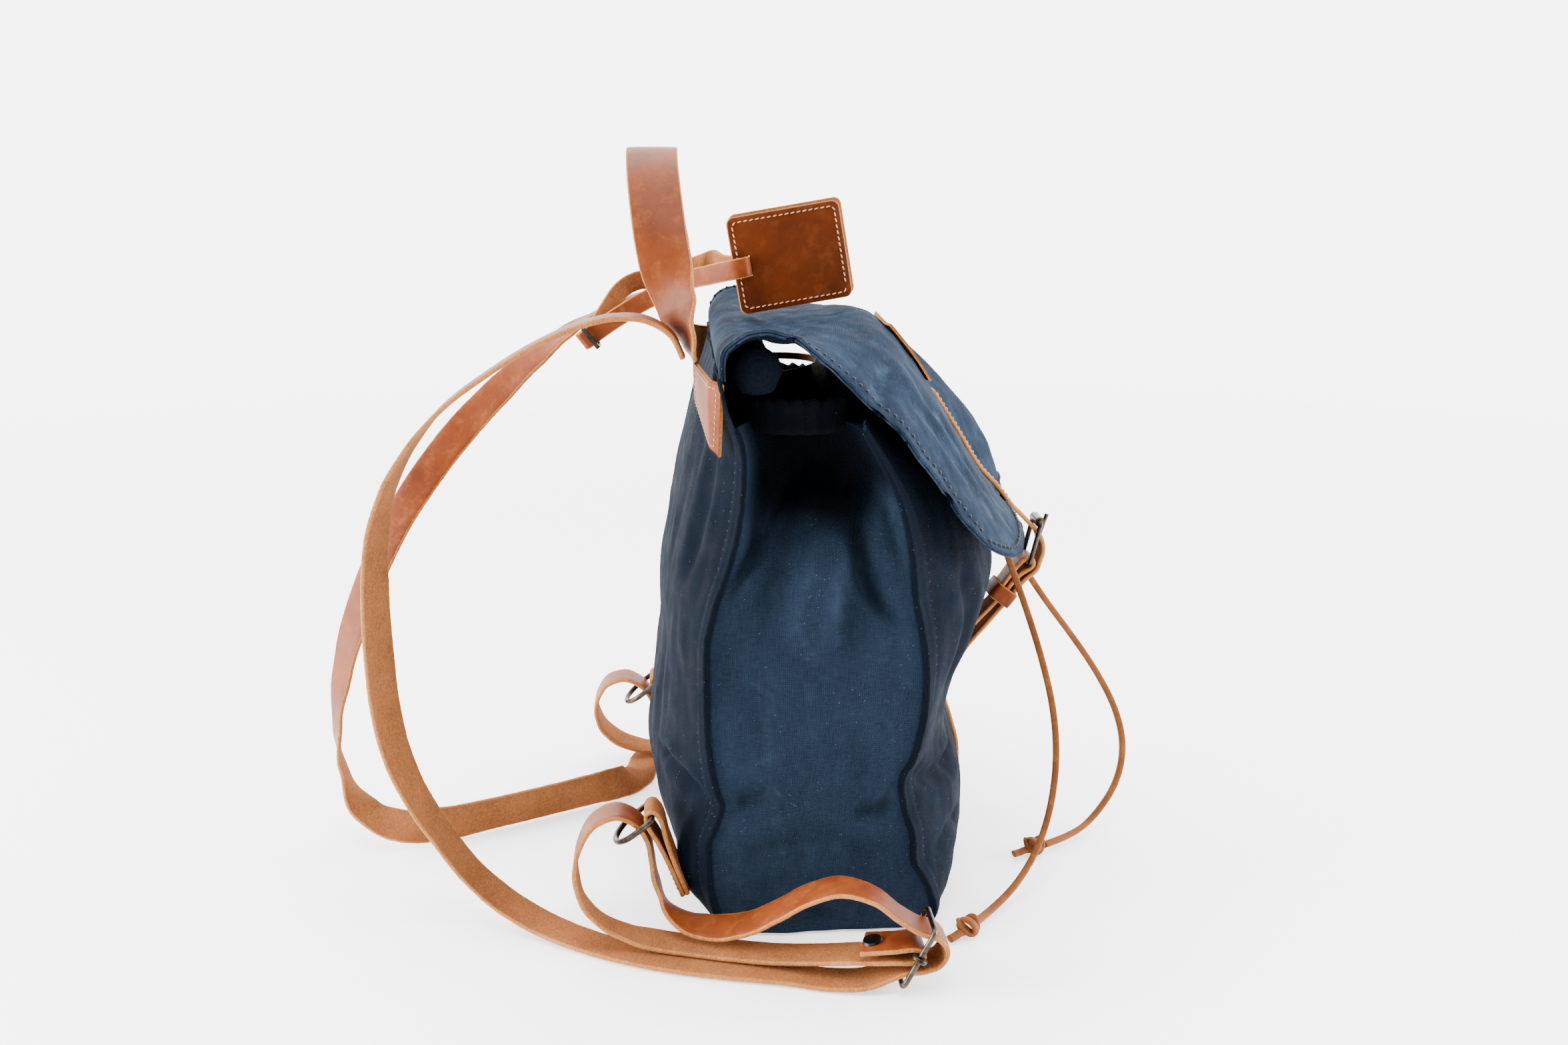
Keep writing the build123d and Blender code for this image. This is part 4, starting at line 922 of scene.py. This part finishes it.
FLAP_FOLDS = [
    ([(-150, 40), (-120, 20), (-80, 12), (-30, 20)], 2.2, 6.0),
    ([(-150, -30), (-118, -40), (-90, -52)], 2.6, 6.0), ([(150, 30), (110, 15), (70, 14)], 2.2, 6.0),
    ([(-95, -60), (-88, -90), (-92, -120)], 2.6, 7.0),
    ([(-122, -52), (-112, -80), (-116, -104)], 2.2, 6.0), ([(95, -60), (88, -92), (92, -118)], 2.4, 7.0),
    ([(-60, 40), (-20, 26), (30, 30)], 1.6, 6.0),
]
for line, depth, width in FLAP_FOLDS:
    push = push - fold(line, gx, flap[..., 1], depth, width)
# A turned hem, doubled up to the line of its stitches.
inset = HALF - np.abs(gx)
push = push + 0.8 * smoothstep(6.4, 4.6, inset) - 0.6 * np.exp(-((inset - 5.6) / 1.1) ** 2)
flap = flap + flap_normal * (push * free)[..., None]
side_wave = np.array([[1.6 * noise.noise(Vector((s / 6.0, 4.0, 0.0)))
                       for s in np.linspace(0, 60, FLAP_COLUMNS)]])
flap[..., 0] += np.sign(gx) * near_edge * side_wave

under = flap - flap_normal * 2.3
# Painted shade along the hem's stitch groove; the flap's underside takes the darker canvas, painted shade
# too.
hem_shade = 0.5 * np.exp(-((inset - 5.5) / 1.1) ** 2)
for name, grid, thick, mats, slot_name, nodes in (
        ("flap_cloth", flap, 1.9, CLOTH_MATS, "canvas", ("flap_panel", "flap_root")),
        ("flap_under_cloth", under, 1.5, [CANVAS_SHADED, CANVAS_SHADED, CANVAS], "canvas_dark", ("flap_lining",))):
    wear_and_light = np.clip(curvature(grid) + 0.3 + 0.3 * near_edge, 0.0, 1.0)
    downward = grid_normals(grid)[TOP_POINT] < 0
    cloth = shell(name, grid, thick, mats, flip=downward, wear_and_light=wear_and_light, shade=hem_shade)
    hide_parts(*nodes)
    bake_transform(cloth)

for name, part in (("hem_thread_left", np.s_[11, 6:-3]), ("hem_thread_right", np.s_[-12, 6:-3]),
                   ("hem_thread_front", np.s_[11:-11, -4])):
    run = stitches(name, flap[part], flap_normal[part], NAVY_THREAD, 3.8, 2.0, 1.0, 0.4)
    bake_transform(run)

# ---------------------------------------------------------------- leather on the flap
def round_border(grid):
    """The points round a grid, two rows in from its edge, where a border is stitched."""
    return np.r_[grid[2:-2, 2], grid[-3, 3:-2], grid[-3:1:-1, -3], grid[2, -3:1:-1]]


PATCH_LINE = [(-52.5, 390.5, 0), (-60, 381.5, 0), (-68, 371.5, 0), (-75, 361.5, 0), (-80.5, 352.5, 0)]
patch_line, _ = through(PATCH_LINE, 1.4)
patch = []
for xx in np.linspace(-40.0, 40.0, 41):
    lift = 1.6 + 1.6 * smoothstep(28.0, 40.0, abs(xx))
    sag = 0.0022 * xx * xx
    patch.append([(xx, q[0] - 0.82 * lift - sag * 0.4, q[1] + 0.57 * lift - sag * 0.5) for q in patch_line])
patch = np.array(patch)
patch_normal = grid_normals(patch)
flipped = patch_normal[20, 10, 2] < 0
if flipped:
    patch_normal = -patch_normal
piece = shell("leather_patch", patch, 2.0, STRAP_MATS, flip=flipped)
settle(piece, "flap", "leather", "blank_patch")
run = stitches("patch_thread", round_border(patch), round_border(patch_normal), TAN_THREAD, 2.8, 1.3, 0.42)
run.parent = piece

X = (1, 0, 0)


def flat(points, x=0.0):
    return [((x, y, z), X) for y, z in points]


def around(centre, radius, angles):
    return [(centre[0] + radius * math.cos(math.radians(a)), centre[1] + radius * math.sin(math.radians(a)))
            for a in angles]


HEEL, ROLLER = (-164.0, 213.0), (-171.0, 243.0)
LEAN = math.degrees(math.atan2(ROLLER[1] - HEEL[1], ROLLER[0] - HEEL[0]))
flap_run = [(-91.5, 338.5), (-97.0, 330.0), (-111.0, 308.0), (-125.8, 284.5), (-141.2, 267.5),
            (-150.5, 255.5), (-159.0, 247.0)]
outside = [(-173.0, 230.0), (-174.3, 221.0)] + around(HEEL, 8.0, [LEAN + 80, LEAN + 105])
tail = [(-161.3, 199.5), (-149.0, 184.5), (-134.0, 166.5), (-119.5, 149.0), (-110.0, 133.0)]
billet_line = flap_run + around(ROLLER, 5.8, [-40.0, -58.0]) + outside + tail
billet = ribbon("front_strap", flat(billet_line), 20.0, 3.0, grain=-1.0, round_tip=True)
settle(billet, "flap", "leather", "flap_strap")

closure_run = [(-115.5, 58.0), (-114.5, 75.0), (-108.5, 98.0), (-102.5, 118.0), (-103.0, 135.0),
               (-112.0, 152.0), (-127.5, 170.0), (-144.5, 188.0), (-157.5, 203.5)]
closure_line = closure_run + around(HEEL, 3.7, [LEAN + 85, LEAN + 35, LEAN - 15, LEAN - 65])
closure_line += [(-155.0, 209.5), (-147.0, 198.5), (-138.0, 186.5)]
loop = ribbon("closure_leather", flat(closure_line), 20.0, 3.0, grain=1.0)
settle(loop, "bag", "leather", "closure_strap")

# Border stitching of the front strap where it is sewn to the flap.
sewn, _ = through([(0, y, z) for y, z in flap_run[:6]], 1.5)
sewn_n = unit(np.cross(np.gradient(sewn, axis=0), np.array([1.0, 0.0, 0.0])))
if sewn_n[5][2] < 0:
    sewn_n = -sewn_n
for side, word in ((-1.0, "left"), (1.0, "right")):
    line = sewn + sewn_n * 1.75 + np.array([side * 7.4, 0.0, 0.0])
    run = stitches("front_strap_thread_" + word, line, sewn_n, TAN_THREAD, 2.8, 1.3, 0.42)
    run.parent = billet

# The keeper: a folded leather band.
way = unit([0.0, -12.5, 16.5])
out = np.array([0.0, -way[2], way[1]])
centre = np.array([0.0, -145.8, 188.8])
SPANS, HALF_WIDE, HALF_THICK, SQUARE = 72, 12.0, 8.4, 0.32
# The band's section (along the strap, outwards) and the material of each of its sides.
rim = [(-5.6, -0.4), (-6.0, 0.0), (-6.0, 0.7), (-5.5, 1.1), (0.0, 1.3),
       (5.5, 1.1), (6.0, 0.7), (6.0, 0.0), (5.6, -0.4), (0.0, -0.4)]
rim_kinds = [2, 2, 2, 0, 0, 2, 2, 2, 1, 1]
verts, uvs = [], []
for k in range(SPANS):
    a = 2.0 * math.pi * k / SPANS
    c, s = math.cos(a), math.sin(a)
    across = HALF_WIDE * math.copysign(abs(c) ** SQUARE, c)
    point = np.array([across, 0.0, 0.0]) + out * (HALF_THICK * math.copysign(abs(s) ** SQUARE, s))
    outward = unit(point + 1e-9)
    for along, off in rim:
        verts.append(centre + point + way * along + outward * off)
        uvs.append((k * 0.9 * MM, along * MM))
faces = [(a, c, d, b) for c, d, b, a in ring_quads(SPANS, len(rim), flip=True, wrap=True)]
keeper = mesh("keeper_band", verts, faces, STRAP_MATS, uvs, rim_kinds * SPANS)
settle(keeper, "keeper", "leather", "closure_keeper")

# ---------------------------------------------------------------- handle
HANDLE = [
    ((-115, 77, 378), (1.0, 0.02, 0)), ((-111.5, 81, 391), (0.95, 0.25, 0)),
    ((-103, 88, 411), (0.7, 0.7, 0)), ((-90, 95.5, 440), (0.25, 1.0, 0)),
    ((-68, 100, 470), (0.05, 1.0, 0)), ((-38, 102.5, 494), (0.0, 1.0, 0)), ((0, 103, 505), (0.0, 1.0, 0)),
]
handle_line = HANDLE + [((-p[0], p[1], p[2]), (-w[0], w[1], w[2])) for p, w in reversed(HANDLE[:-1])]
grip = ribbon("carry_handle", handle_line, 34.0, 3.0, grain=-1.0, crown=0.3)
settle(grip, "handle_loop", "leather", "handle")

# Triangular corner patches with a stitched border, wrapped a little round the corner.
for side, word in ((-1.0, "left"), (1.0, "right")):
    base = np.array([-125.5, 69.3, 350.0])
    ex = unit([48.0, 10.6, 0.0])
    en = unit([-10.6, 48.0, 0.0])
    top_a, top_b = np.array([-25.0, 17.5]), np.array([26.0, 25.0])
    low_a, low_b = np.array([-22.0, -27.0]), np.array([24.0, 2.0])
    rows = []
    for i in np.linspace(0.0, 1.0, 30):
        line = []
        for j in np.linspace(0.0, 1.0, 26):
            q = (top_a * (1 - i) + top_b * i) * (1 - j) + (low_a * (1 - i) + low_b * i) * j
            wrap = smoothstep(-14.0, -25.0, q[0])
            depth = 3.8 - 5.0 * wrap + 0.8 * math.sin(math.pi * i) * math.sin(math.pi * j)
            line.append(base + ex * q[0] + en * depth + np.array([0, 0, q[1]]))
        rows.append(line)
    rows = np.array(rows)
    if side > 0:
        rows[..., 0] *= -1.0
    normal = grid_normals(rows)
    flipped = normal[15, 12, 1] < 0
    if flipped:
        normal = -normal
    piece = shell("corner_patch_" + word, rows, 2.6, STRAP_MATS, flip=flipped)
    settle(piece, "bag", "leather", word + "_anchor_patch")
    line, ups = round_border(rows), round_border(normal)
    run = stitches("corner_thread_" + word, line, ups, TAN_THREAD, 2.4, 1.1, 0.38)
    run.parent = piece

# ---------------------------------------------------------------- shoulder straps
SLIDER_X, SLIDER_BAR = 217.0, (-53.0, 25.0)
LOWER_LEFT = [
    ((-187, 88, 2.1), (0.95, -0.32, 0)), ((-196, 57, 2.1), (0.97, -0.2, 0)),
    ((-204, 25, 2.1), (0.98, -0.15, 0)), ((-213, -3, 2.1), (0.99, -0.1, 0)), ((-217, -25, 5.0), X),
    ((-217, -36, 9.2), X), ((-217, -46, 13.2), X), ((-217, -58, 14.2), X), ((-217, -68, 18.5), X),
    ((-217, -71.5, 27.5), X), ((-217, -66, 35.5), X), ((-216.5, -56, 39.0), X), ((-213.5, -44, 45.5), X),
    ((-206, -29, 54.5), X), ((-198, -9, 57.5), X), ((-191, 12, 49.0), X), ((-184, 29, 36.0), X),
    ((-175, 49, 22.0), (1, 0, 0.05)), ((-165, 70, 14.6), (0.98, 0.15, 0.1)),
    ((-155, 89, 15.0), (0.95, 0.25, 0.1)), ((-145, 102, 22.5), (0.97, 0.2, 0.05)),
    ((-137, 108.5, 37.0), X), ((-132, 111, 52.0), X), ((-130, 113.5, 65.5), X), ((-130, 121, 77.0), X),
    ((-131.5, 133, 83.0), X), ((-136, 148, 78.5), X), ((-142, 157.5, 64.0), X), ((-149, 160, 48.0), X),
    ((-155, 155.5, 32.0), (0.98, 0.1, 0)), ((-158.5, 143, 18.5), (0.97, 0.2, 0)),
    ((-161, 126, 10.5), (0.96, 0.22, 0)), ((-165.5, 106, 6.8), (0.95, -0.25, 0)),
    ((-172, 83, 5.9), (0.95, -0.28, 0)), ((-180, 58, 6.0), (0.95, -0.3, 0)),
    ((-189, 31, 7.6), (0.95, -0.3, 0)), ((-199, 5, 12.0), (0.95, -0.28, 0)),
    ((-209, -19, 17.4), (0.98, -0.15, 0)), ((-216, -38, 20.4), X),
]
LOWER_LEFT += [((-SLIDER_X, y, z), X) for y, z in around(SLIDER_BAR, 3.95, [272, 226, 180, 134, 88])]
LOWER_LEFT += [((-216, -39, 28.2), X), ((-211, -21, 25.0), X)]
UPPER_LEFT = [
    ((-112, 85, 380), X), ((-112, 92, 394), X), ((-112, 106, 403), X), ((-112, 126, 405), X),
    ((-112, 149, 400), X), ((-112, 175, 389), X), ((-112, 207, 370), X), ((-112, 234, 350), X),
    ((-112, 256, 325), (0.98, -0.12, 0)), ((-112, 272, 297), (0.96, -0.25, 0)),
    ((-112, 281, 264), (0.9, -0.42, 0)), ((-112, 284, 227), (0.85, -0.52, 0)),
    ((-112, 284, 187), (0.82, -0.57, 0)), ((-112, 282, 150), (0.82, -0.57, 0)),
    ((-113, 276, 118), (0.84, -0.52, 0)), ((-115, 264, 88), (0.9, -0.42, 0)),
    ((-114, 250, 62), (0.93, -0.35, 0)), ((-116, 232, 36), (0.94, -0.33, 0.05)),
    ((-121, 211, 17), (0.9, -0.42, 0.06)), ((-132, 188, 6.5), (0.86, -0.5, 0.03)),
    ((-151, 159, 2.4), (0.82, -0.56, 0)), ((-172, 124, 2.1), (0.9, -0.42, 0)),
]
UPPER_RIGHT = [
    ((112, 85, 380), X), ((112, 92, 391), X), ((112, 106, 396), X), ((112, 126, 393.5), X),
    ((112, 150, 382), X), ((112, 173, 368), (0.95, 0.25, 0.2)), ((109, 199, 348), (0.8, 0.45, 0.4)),
    ((106, 229, 321), (0.55, 0.65, 0.55)), ((102, 257, 292), (0.35, 0.72, 0.6)),
    ((96, 284, 258), (0.35, 0.75, 0.55)), ((89, 305, 226), (0.45, 0.75, 0.45)),
    ((81, 323, 190), (0.5, 0.8, 0.3)), ((72, 338, 152), (0.6, 0.8, 0.15)),
    ((60, 347, 116), (0.7, 0.7, -0.15)), ((45, 350, 80), (0.85, 0.4, -0.37)),
    ((28, 343, 48), (0.88, -0.05, -0.46)), ((12, 325, 24), (0.75, -0.45, 0.15)),
    ((4, 300, 15), (0.7, 0, 0.7)), ((9, 269, 13.3), (0.25, 0, 1)), ((26, 232, 13.3), (0, 0, 1)),
    ((46, 194, 13.3), (0, 0, 1)), ((65, 161, 13.2), (0, 0.1, 1)), ((85, 137, 10.5), (0.35, 0.4, 0.8)),
    ((108, 126, 5.5), (0.45, 0.85, 0.4)), ((132, 123, 2.5), (0.15, 1, 0.03)),
    ((156, 119, 2.1), (0.35, 0.9, 0)), ((176, 106, 2.1), (0.8, 0.6, 0)),
]
LOWER_RIGHT = [((-p[0], p[1], p[2]), (w[0], -w[1], -w[2])) for p, w in LOWER_LEFT]
for word, stations in (("left", UPPER_LEFT + LOWER_LEFT), ("right", UPPER_RIGHT + LOWER_RIGHT)):
    strap = ribbon("leather_shoulder_" + word, stations, 25.0, 3.0, grain=1.0, rough=0.3)
    settle(strap, "bag", "leather", word + "_shoulder_strap")

# The middle bar of each slider ends in an eye bent round the side wire.
for side, word in ((-1.0, "left"), (1.0, "right")):
    way = unit([0.0, -0.46, 0.888])
    cross = np.array([0.0, way[2], -way[1]])
    for end in (-1.0, 1.0):
        hub = np.array([side * SLIDER_X + end * 16.0, *SLIDER_BAR])
        turn = []
        for a in np.linspace(0, 2 * math.pi, 33)[:-1]:
            spoke = np.array([math.cos(a) * 3.4, 0, 0]) + cross * math.sin(a) * 3.4
            turn.append(hub + spoke + way * 0.9 * math.sin(a / 2.0))
        eye = tube("slider_eye_" + word + ("_a" if end < 0 else "_b"), turn, 1.7, [BRONZE], 10, 1.0, True)
        settle(eye, "slider_" + word, "bronze")

# ---------------------------------------------------------------- ring tabs
RING_BAR, TAB_FOOT = (110.0, 82.0), (89.0, 26.0)
tab_way = np.array([RING_BAR[0] - TAB_FOOT[0], RING_BAR[1] - TAB_FOOT[1]])
tab_way = tab_way / np.linalg.norm(tab_way)
tab_side = np.array([tab_way[1], -tab_way[0]])
tab_angle = math.degrees(math.atan2(tab_way[1], tab_way[0]))
SPREAD = [(0.0, 1.65), (22.0, 1.75), (40.0, 2.7)]
tab_line = [tuple(np.array(TAB_FOOT) + tab_way * a - tab_side * s) for a, s in SPREAD]
tab_line += around(RING_BAR, 3.9, [tab_angle + turned for turned in (90, 45, 0, -45, -90)])
tab_line += [tuple(np.array(TAB_FOOT) + tab_way * a + tab_side * s) for a, s in reversed(SPREAD)]
for side, word in ((-1.0, "left"), (1.0, "right")):
    tab = ribbon("leather_tab_" + word, flat(tab_line, side * 130.0), 24.0, 3.0, grain=-1.0, rough=0.25)
    settle(tab, "bag", "leather", word + "_ring_tab")
    start = np.array(TAB_FOOT) + tab_side * 3.3 + tab_way * 3.0
    end = np.array(TAB_FOOT) + tab_side * 3.4 + tab_way * 34.0
    for off, letter in ((-9.0, "_a"), (9.0, "_b")):
        line = [np.array([side * 130.0 + off, *(start * (1 - t) + end * t)]) for t in np.linspace(0, 1, 20)]
        run = stitches("tab_thread_" + word + letter, line, [0.0, *tab_side], TAN_THREAD, 2.6, 1.2, 0.42)
        run.parent = tab

# ---------------------------------------------------------------- luggage tag
TAG_X, TAG_CENTRE, TAG_TILT = 20.0, (8.5, 431.0), math.radians(9.5)
tag_across = np.array([0.0, -math.cos(TAG_TILT), math.sin(TAG_TILT)])
tag_down = np.array([0.0, -math.sin(TAG_TILT), -math.cos(TAG_TILT)])
SLOT_AT, SLOT_HALF_W, SLOT_HALF_L = (-29.0, 1.0), 1.45, 7.3


def rounded_rectangle(w, h, r, step=1.0):
    """Points a step apart round a rectangle of half sizes w and h with corners of radius r."""
    pts = []
    corners = ((w - r, h - r), (r - w, h - r), (r - w, r - h), (w - r, r - h))
    for start, corner in zip((0, 90, 180, 270), corners):
        pts += around(corner, r, range(start, start + 91, 15))
    p = np.array(pts + pts[:1])
    d = distances(p)
    s = np.linspace(0.0, d[-1], int(d[-1] / step) + 1)
    return np.column_stack([np.interp(s, d, p[:, k]) for k in (0, 1)])[:-1]


def plate(name, x_out, x_in, face, node, shift=(0.0, 0.0)):
    """A leather plate with a slot, from its face at x_out to its back at x_in, edges rounded over."""
    outer = rounded_rectangle(40.0, 34.0, 5.0)
    count = len(outer)
    hole = []
    for a in np.arctan2(outer[:, 1] - SLOT_AT[1], outer[:, 0] - SLOT_AT[0]):
        c, s = math.cos(a), math.sin(a)
        reach = 1.0 / max(abs(c) / SLOT_HALF_W, abs(s) / SLOT_HALF_L)
        hole.append((SLOT_AT[0] + c * reach, SLOT_AT[1] + s * reach))
    hole = np.array(hole)
    outer = outer + np.array(shift)
    origin = np.array([0.0, *TAG_CENTRE])
    step = 0.7 * (1.0 if x_in > x_out else -1.0)
    # From the slot over the outer face, round the edge and back to the slot.
    layers = [(hole * (1 - share) + outer * share, x_out - (0.12 * step if share == 0.02 else 0.0))
              for share in (0.0, 0.02, 0.06, 0.3, 0.6, 0.9)]
    layers += [(outer * 0.985, x_out), (outer * 0.997, x_out + step * 0.4), (outer, x_out + step)]
    layers += [(outer * 1.002, (x_out + x_in) / 2.0), (outer, x_in - step), (outer * 0.99, x_in)]
    layers.append((hole, x_in))
    layer_kinds = [0] * 6 + [2] * 5 + [1, 2]
    verts, uvs = [], []
    for pts, x in layers:
        for a, b in pts:
            q = origin + tag_across * a + tag_down * b
            q[0] = x
            q[0] += 0.35 * wobble((a, b, 0.0), 30.0, 8.0) * (1.0 - abs(x - x_out) / 6.0)
            verts.append(q)
            uvs.append((a * MM, b * MM))
    faces = ring_quads(len(layers), count, flip=face > 0, wrap=True)
    obj = mesh(name, verts, faces, TAG_MATS, uvs, [kind for kind in layer_kinds for _ in range(count)])
    settle(obj, "tag", "leather", node)
    return obj


front_plate = plate("tag_leather_front", TAG_X - 2.65, TAG_X - 0.05, -1.0, "tag_front")
back_plate = plate("tag_leather_back", TAG_X + 2.65, TAG_X + 0.05, 1.0, "tag_back", (1.9, -1.7))
border = rounded_rectangle(36.2, 30.2, 3.5)
border = np.vstack([border, border[:1]])
for normal, owner, word in ((-1.0, front_plate, "front"), (1.0, back_plate, "back")):
    middle = np.array([TAG_X + normal * 2.7, *TAG_CENTRE])
    line = [middle + tag_across * a + tag_down * b for a, b in border]
    run = stitches("tag_thread_" + word, line, [normal, 0.0, 0.0], TAN_THREAD, 2.9, 1.3, 0.5, 0.12, 0.5)
    run.parent = owner

UP = (0.0, math.sin(TAG_TILT), math.cos(TAG_TILT))
SY, SZ = 36.9, 425.2
TAG_STRAP = [
    ((84.5, 158, 364.5), UP), ((83.5, 148, 372), UP), ((81.5, 132, 383), UP), ((79, 112, 395), UP),
    ((73, 93, 404.5), UP), ((58, 78, 412.5), UP), ((36, 65, 417.5), UP), ((18.5, 54, 421.5), UP),
    ((12.6, SY + 8.0, SZ - 1.4), UP), ((13.6, SY + 1.9, SZ - 0.3), UP), ((17, SY, SZ), UP),
    ((20, SY, SZ), UP), ((23, SY, SZ), UP), ((26.4, SY + 1.9, SZ - 0.3), UP),
    ((28, SY + 7.5, SZ - 0.5), UP), ((38, 51, 424.5), UP), ((64, 56, 425), UP), ((96, 60, 424), UP),
    ((118, 69, 419), UP), ((127, 86, 412), UP), ((125, 103, 407.5), UP), ((110, 118, 407), UP),
    ((95, 130, 401), UP), ((89, 141, 385), UP), ((88.3, 150, 371.5), UP), ((88.8, 160, 363.5), UP),
]
belt = ribbon("tag_belt", TAG_STRAP, 14.0, 2.4, grain=-1.0, rough=0.2, step=1.6)
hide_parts("tag_strap")
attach(belt, "handle_loop")
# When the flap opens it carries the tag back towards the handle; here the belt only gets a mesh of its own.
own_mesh(belt)

# ---------------------------------------------------------------- finishes on the exact CAD hardware
FINISH = {
    "buckle_frame": BRONZE, "buckle_roller": BRONZE, "buckle_prong": BRONZE, "left_slider": BRONZE,
    "right_slider": BRONZE, "left_ring": BRONZE, "right_ring": BRONZE, "left_strap_rivet": DARK,
    "right_strap_rivet": DARK, "tag_buckle": DARK, "drawstring_eyelets": BRONZE,
    "drawstring_loop": LACE_SKIN,
}
for name, finish in FINISH.items():
    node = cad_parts[name]
    for index in range(max(1, len(node.material_slots))):
        if node.material_slots:
            node.material_slots[index].material = finish
        else:
            node.data.materials.append(finish)

# ---------------------------------------------------------------- floor and lights
floor_data = bpy.data.meshes.new("floor")
REACH, FLOOR_Z = 6.0, -0.0006
floor_corners = [(a * REACH, b * REACH, FLOOR_Z) for a, b in ((-1, -1), (1, -1), (1, 1), (-1, 1))]
floor_data.from_pydata(floor_corners, [], [(0, 1, 2, 3)])
paper = Shader("studio_paper")
place = paper.add("ShaderNodeTexCoord").outputs["Object"]
grainy = paper.noise(place, 600.0, 3.0, 0.6)
paper.surface({"Base Color": paper.mix(grainy, (0.93, 0.93, 0.935, 1), (0.97, 0.97, 0.97, 1)),
               "Roughness": 0.6, "Emission Color": (1.0, 1.0, 1.0, 1.0), "Emission Strength": 1.0})
# The paper fades away into the bright backdrop, so no horizon shows.
distance = paper.add("ShaderNodeVectorMath", {0: place}, operation="LENGTH").outputs["Value"]
fade = paper.add("ShaderNodeMapRange", {"Value": distance, "From Min": 0.45, "From Max": 2.6},
                 interpolation_type="SMOOTHSTEP").outputs[0]
clear = paper.add("ShaderNodeBsdfTransparent").outputs[0]
both = paper.add("ShaderNodeMixShader", {0: fade, 1: paper.bsdf.outputs[0], 2: clear}).outputs[0]
paper.put(paper.tree.nodes["Material Output"].inputs["Surface"], both)
floor_data.materials.append(paper.mat)
ground = bpy.data.objects.new("floor", floor_data)
bpy.context.scene.collection.objects.link(ground)

world = bpy.data.worlds.new("studio")
world.use_nodes = True
tree = world.node_tree
around_us = tree.nodes.new("ShaderNodeTexCoord")
axes = tree.nodes.new("ShaderNodeSeparateXYZ")
spread = tree.nodes.new("ShaderNodeMapRange")
spread.interpolation_type = "SMOOTHSTEP"
spread.inputs["From Min"].default_value = -0.25
spread.inputs["From Max"].default_value = 0.45
spread.inputs["To Min"].default_value = 0.25
spread.inputs["To Max"].default_value = 6.5
tree.links.new(around_us.outputs["Generated"], axes.inputs[0])
tree.links.new(axes.outputs["X"], spread.inputs["Value"])
tree.links.new(spread.outputs["Result"], tree.nodes["Background"].inputs["Strength"])
tree.nodes["Background"].inputs["Color"].default_value = (1.0, 1.0, 1.0, 1.0)
bpy.context.scene.world = world


def softbox(name, place, target, size, power):
    data = bpy.data.lights.new(name, "AREA")
    data.shape = "RECTANGLE"
    data.size, data.size_y = size
    data.energy = power
    obj = bpy.data.objects.new(name, data)
    obj.location = place
    obj.rotation_euler = (Vector(target) - Vector(place)).to_track_quat("-Z", "Y").to_euler()
    bpy.context.scene.collection.objects.link(obj)


softbox("top_light", (-0.6, 0.0, 2.1), (0.0, 0.0, 0.2), (1.2, 1.2), 50.0)
softbox("front_light", (-0.25, -2.0, 0.5), (0.0, 0.0, 0.2), (1.2, 1.2), 120.0)
softbox("back_light", (-0.3, 2.1, 0.6), (0.0, 0.0, 0.2), (1.2, 1.2), 170.0)
softbox("camera_fill", (-2.2, 0.6, 1.3), (0.0, 0.0, 0.2), (1.4, 1.4), 8.0)
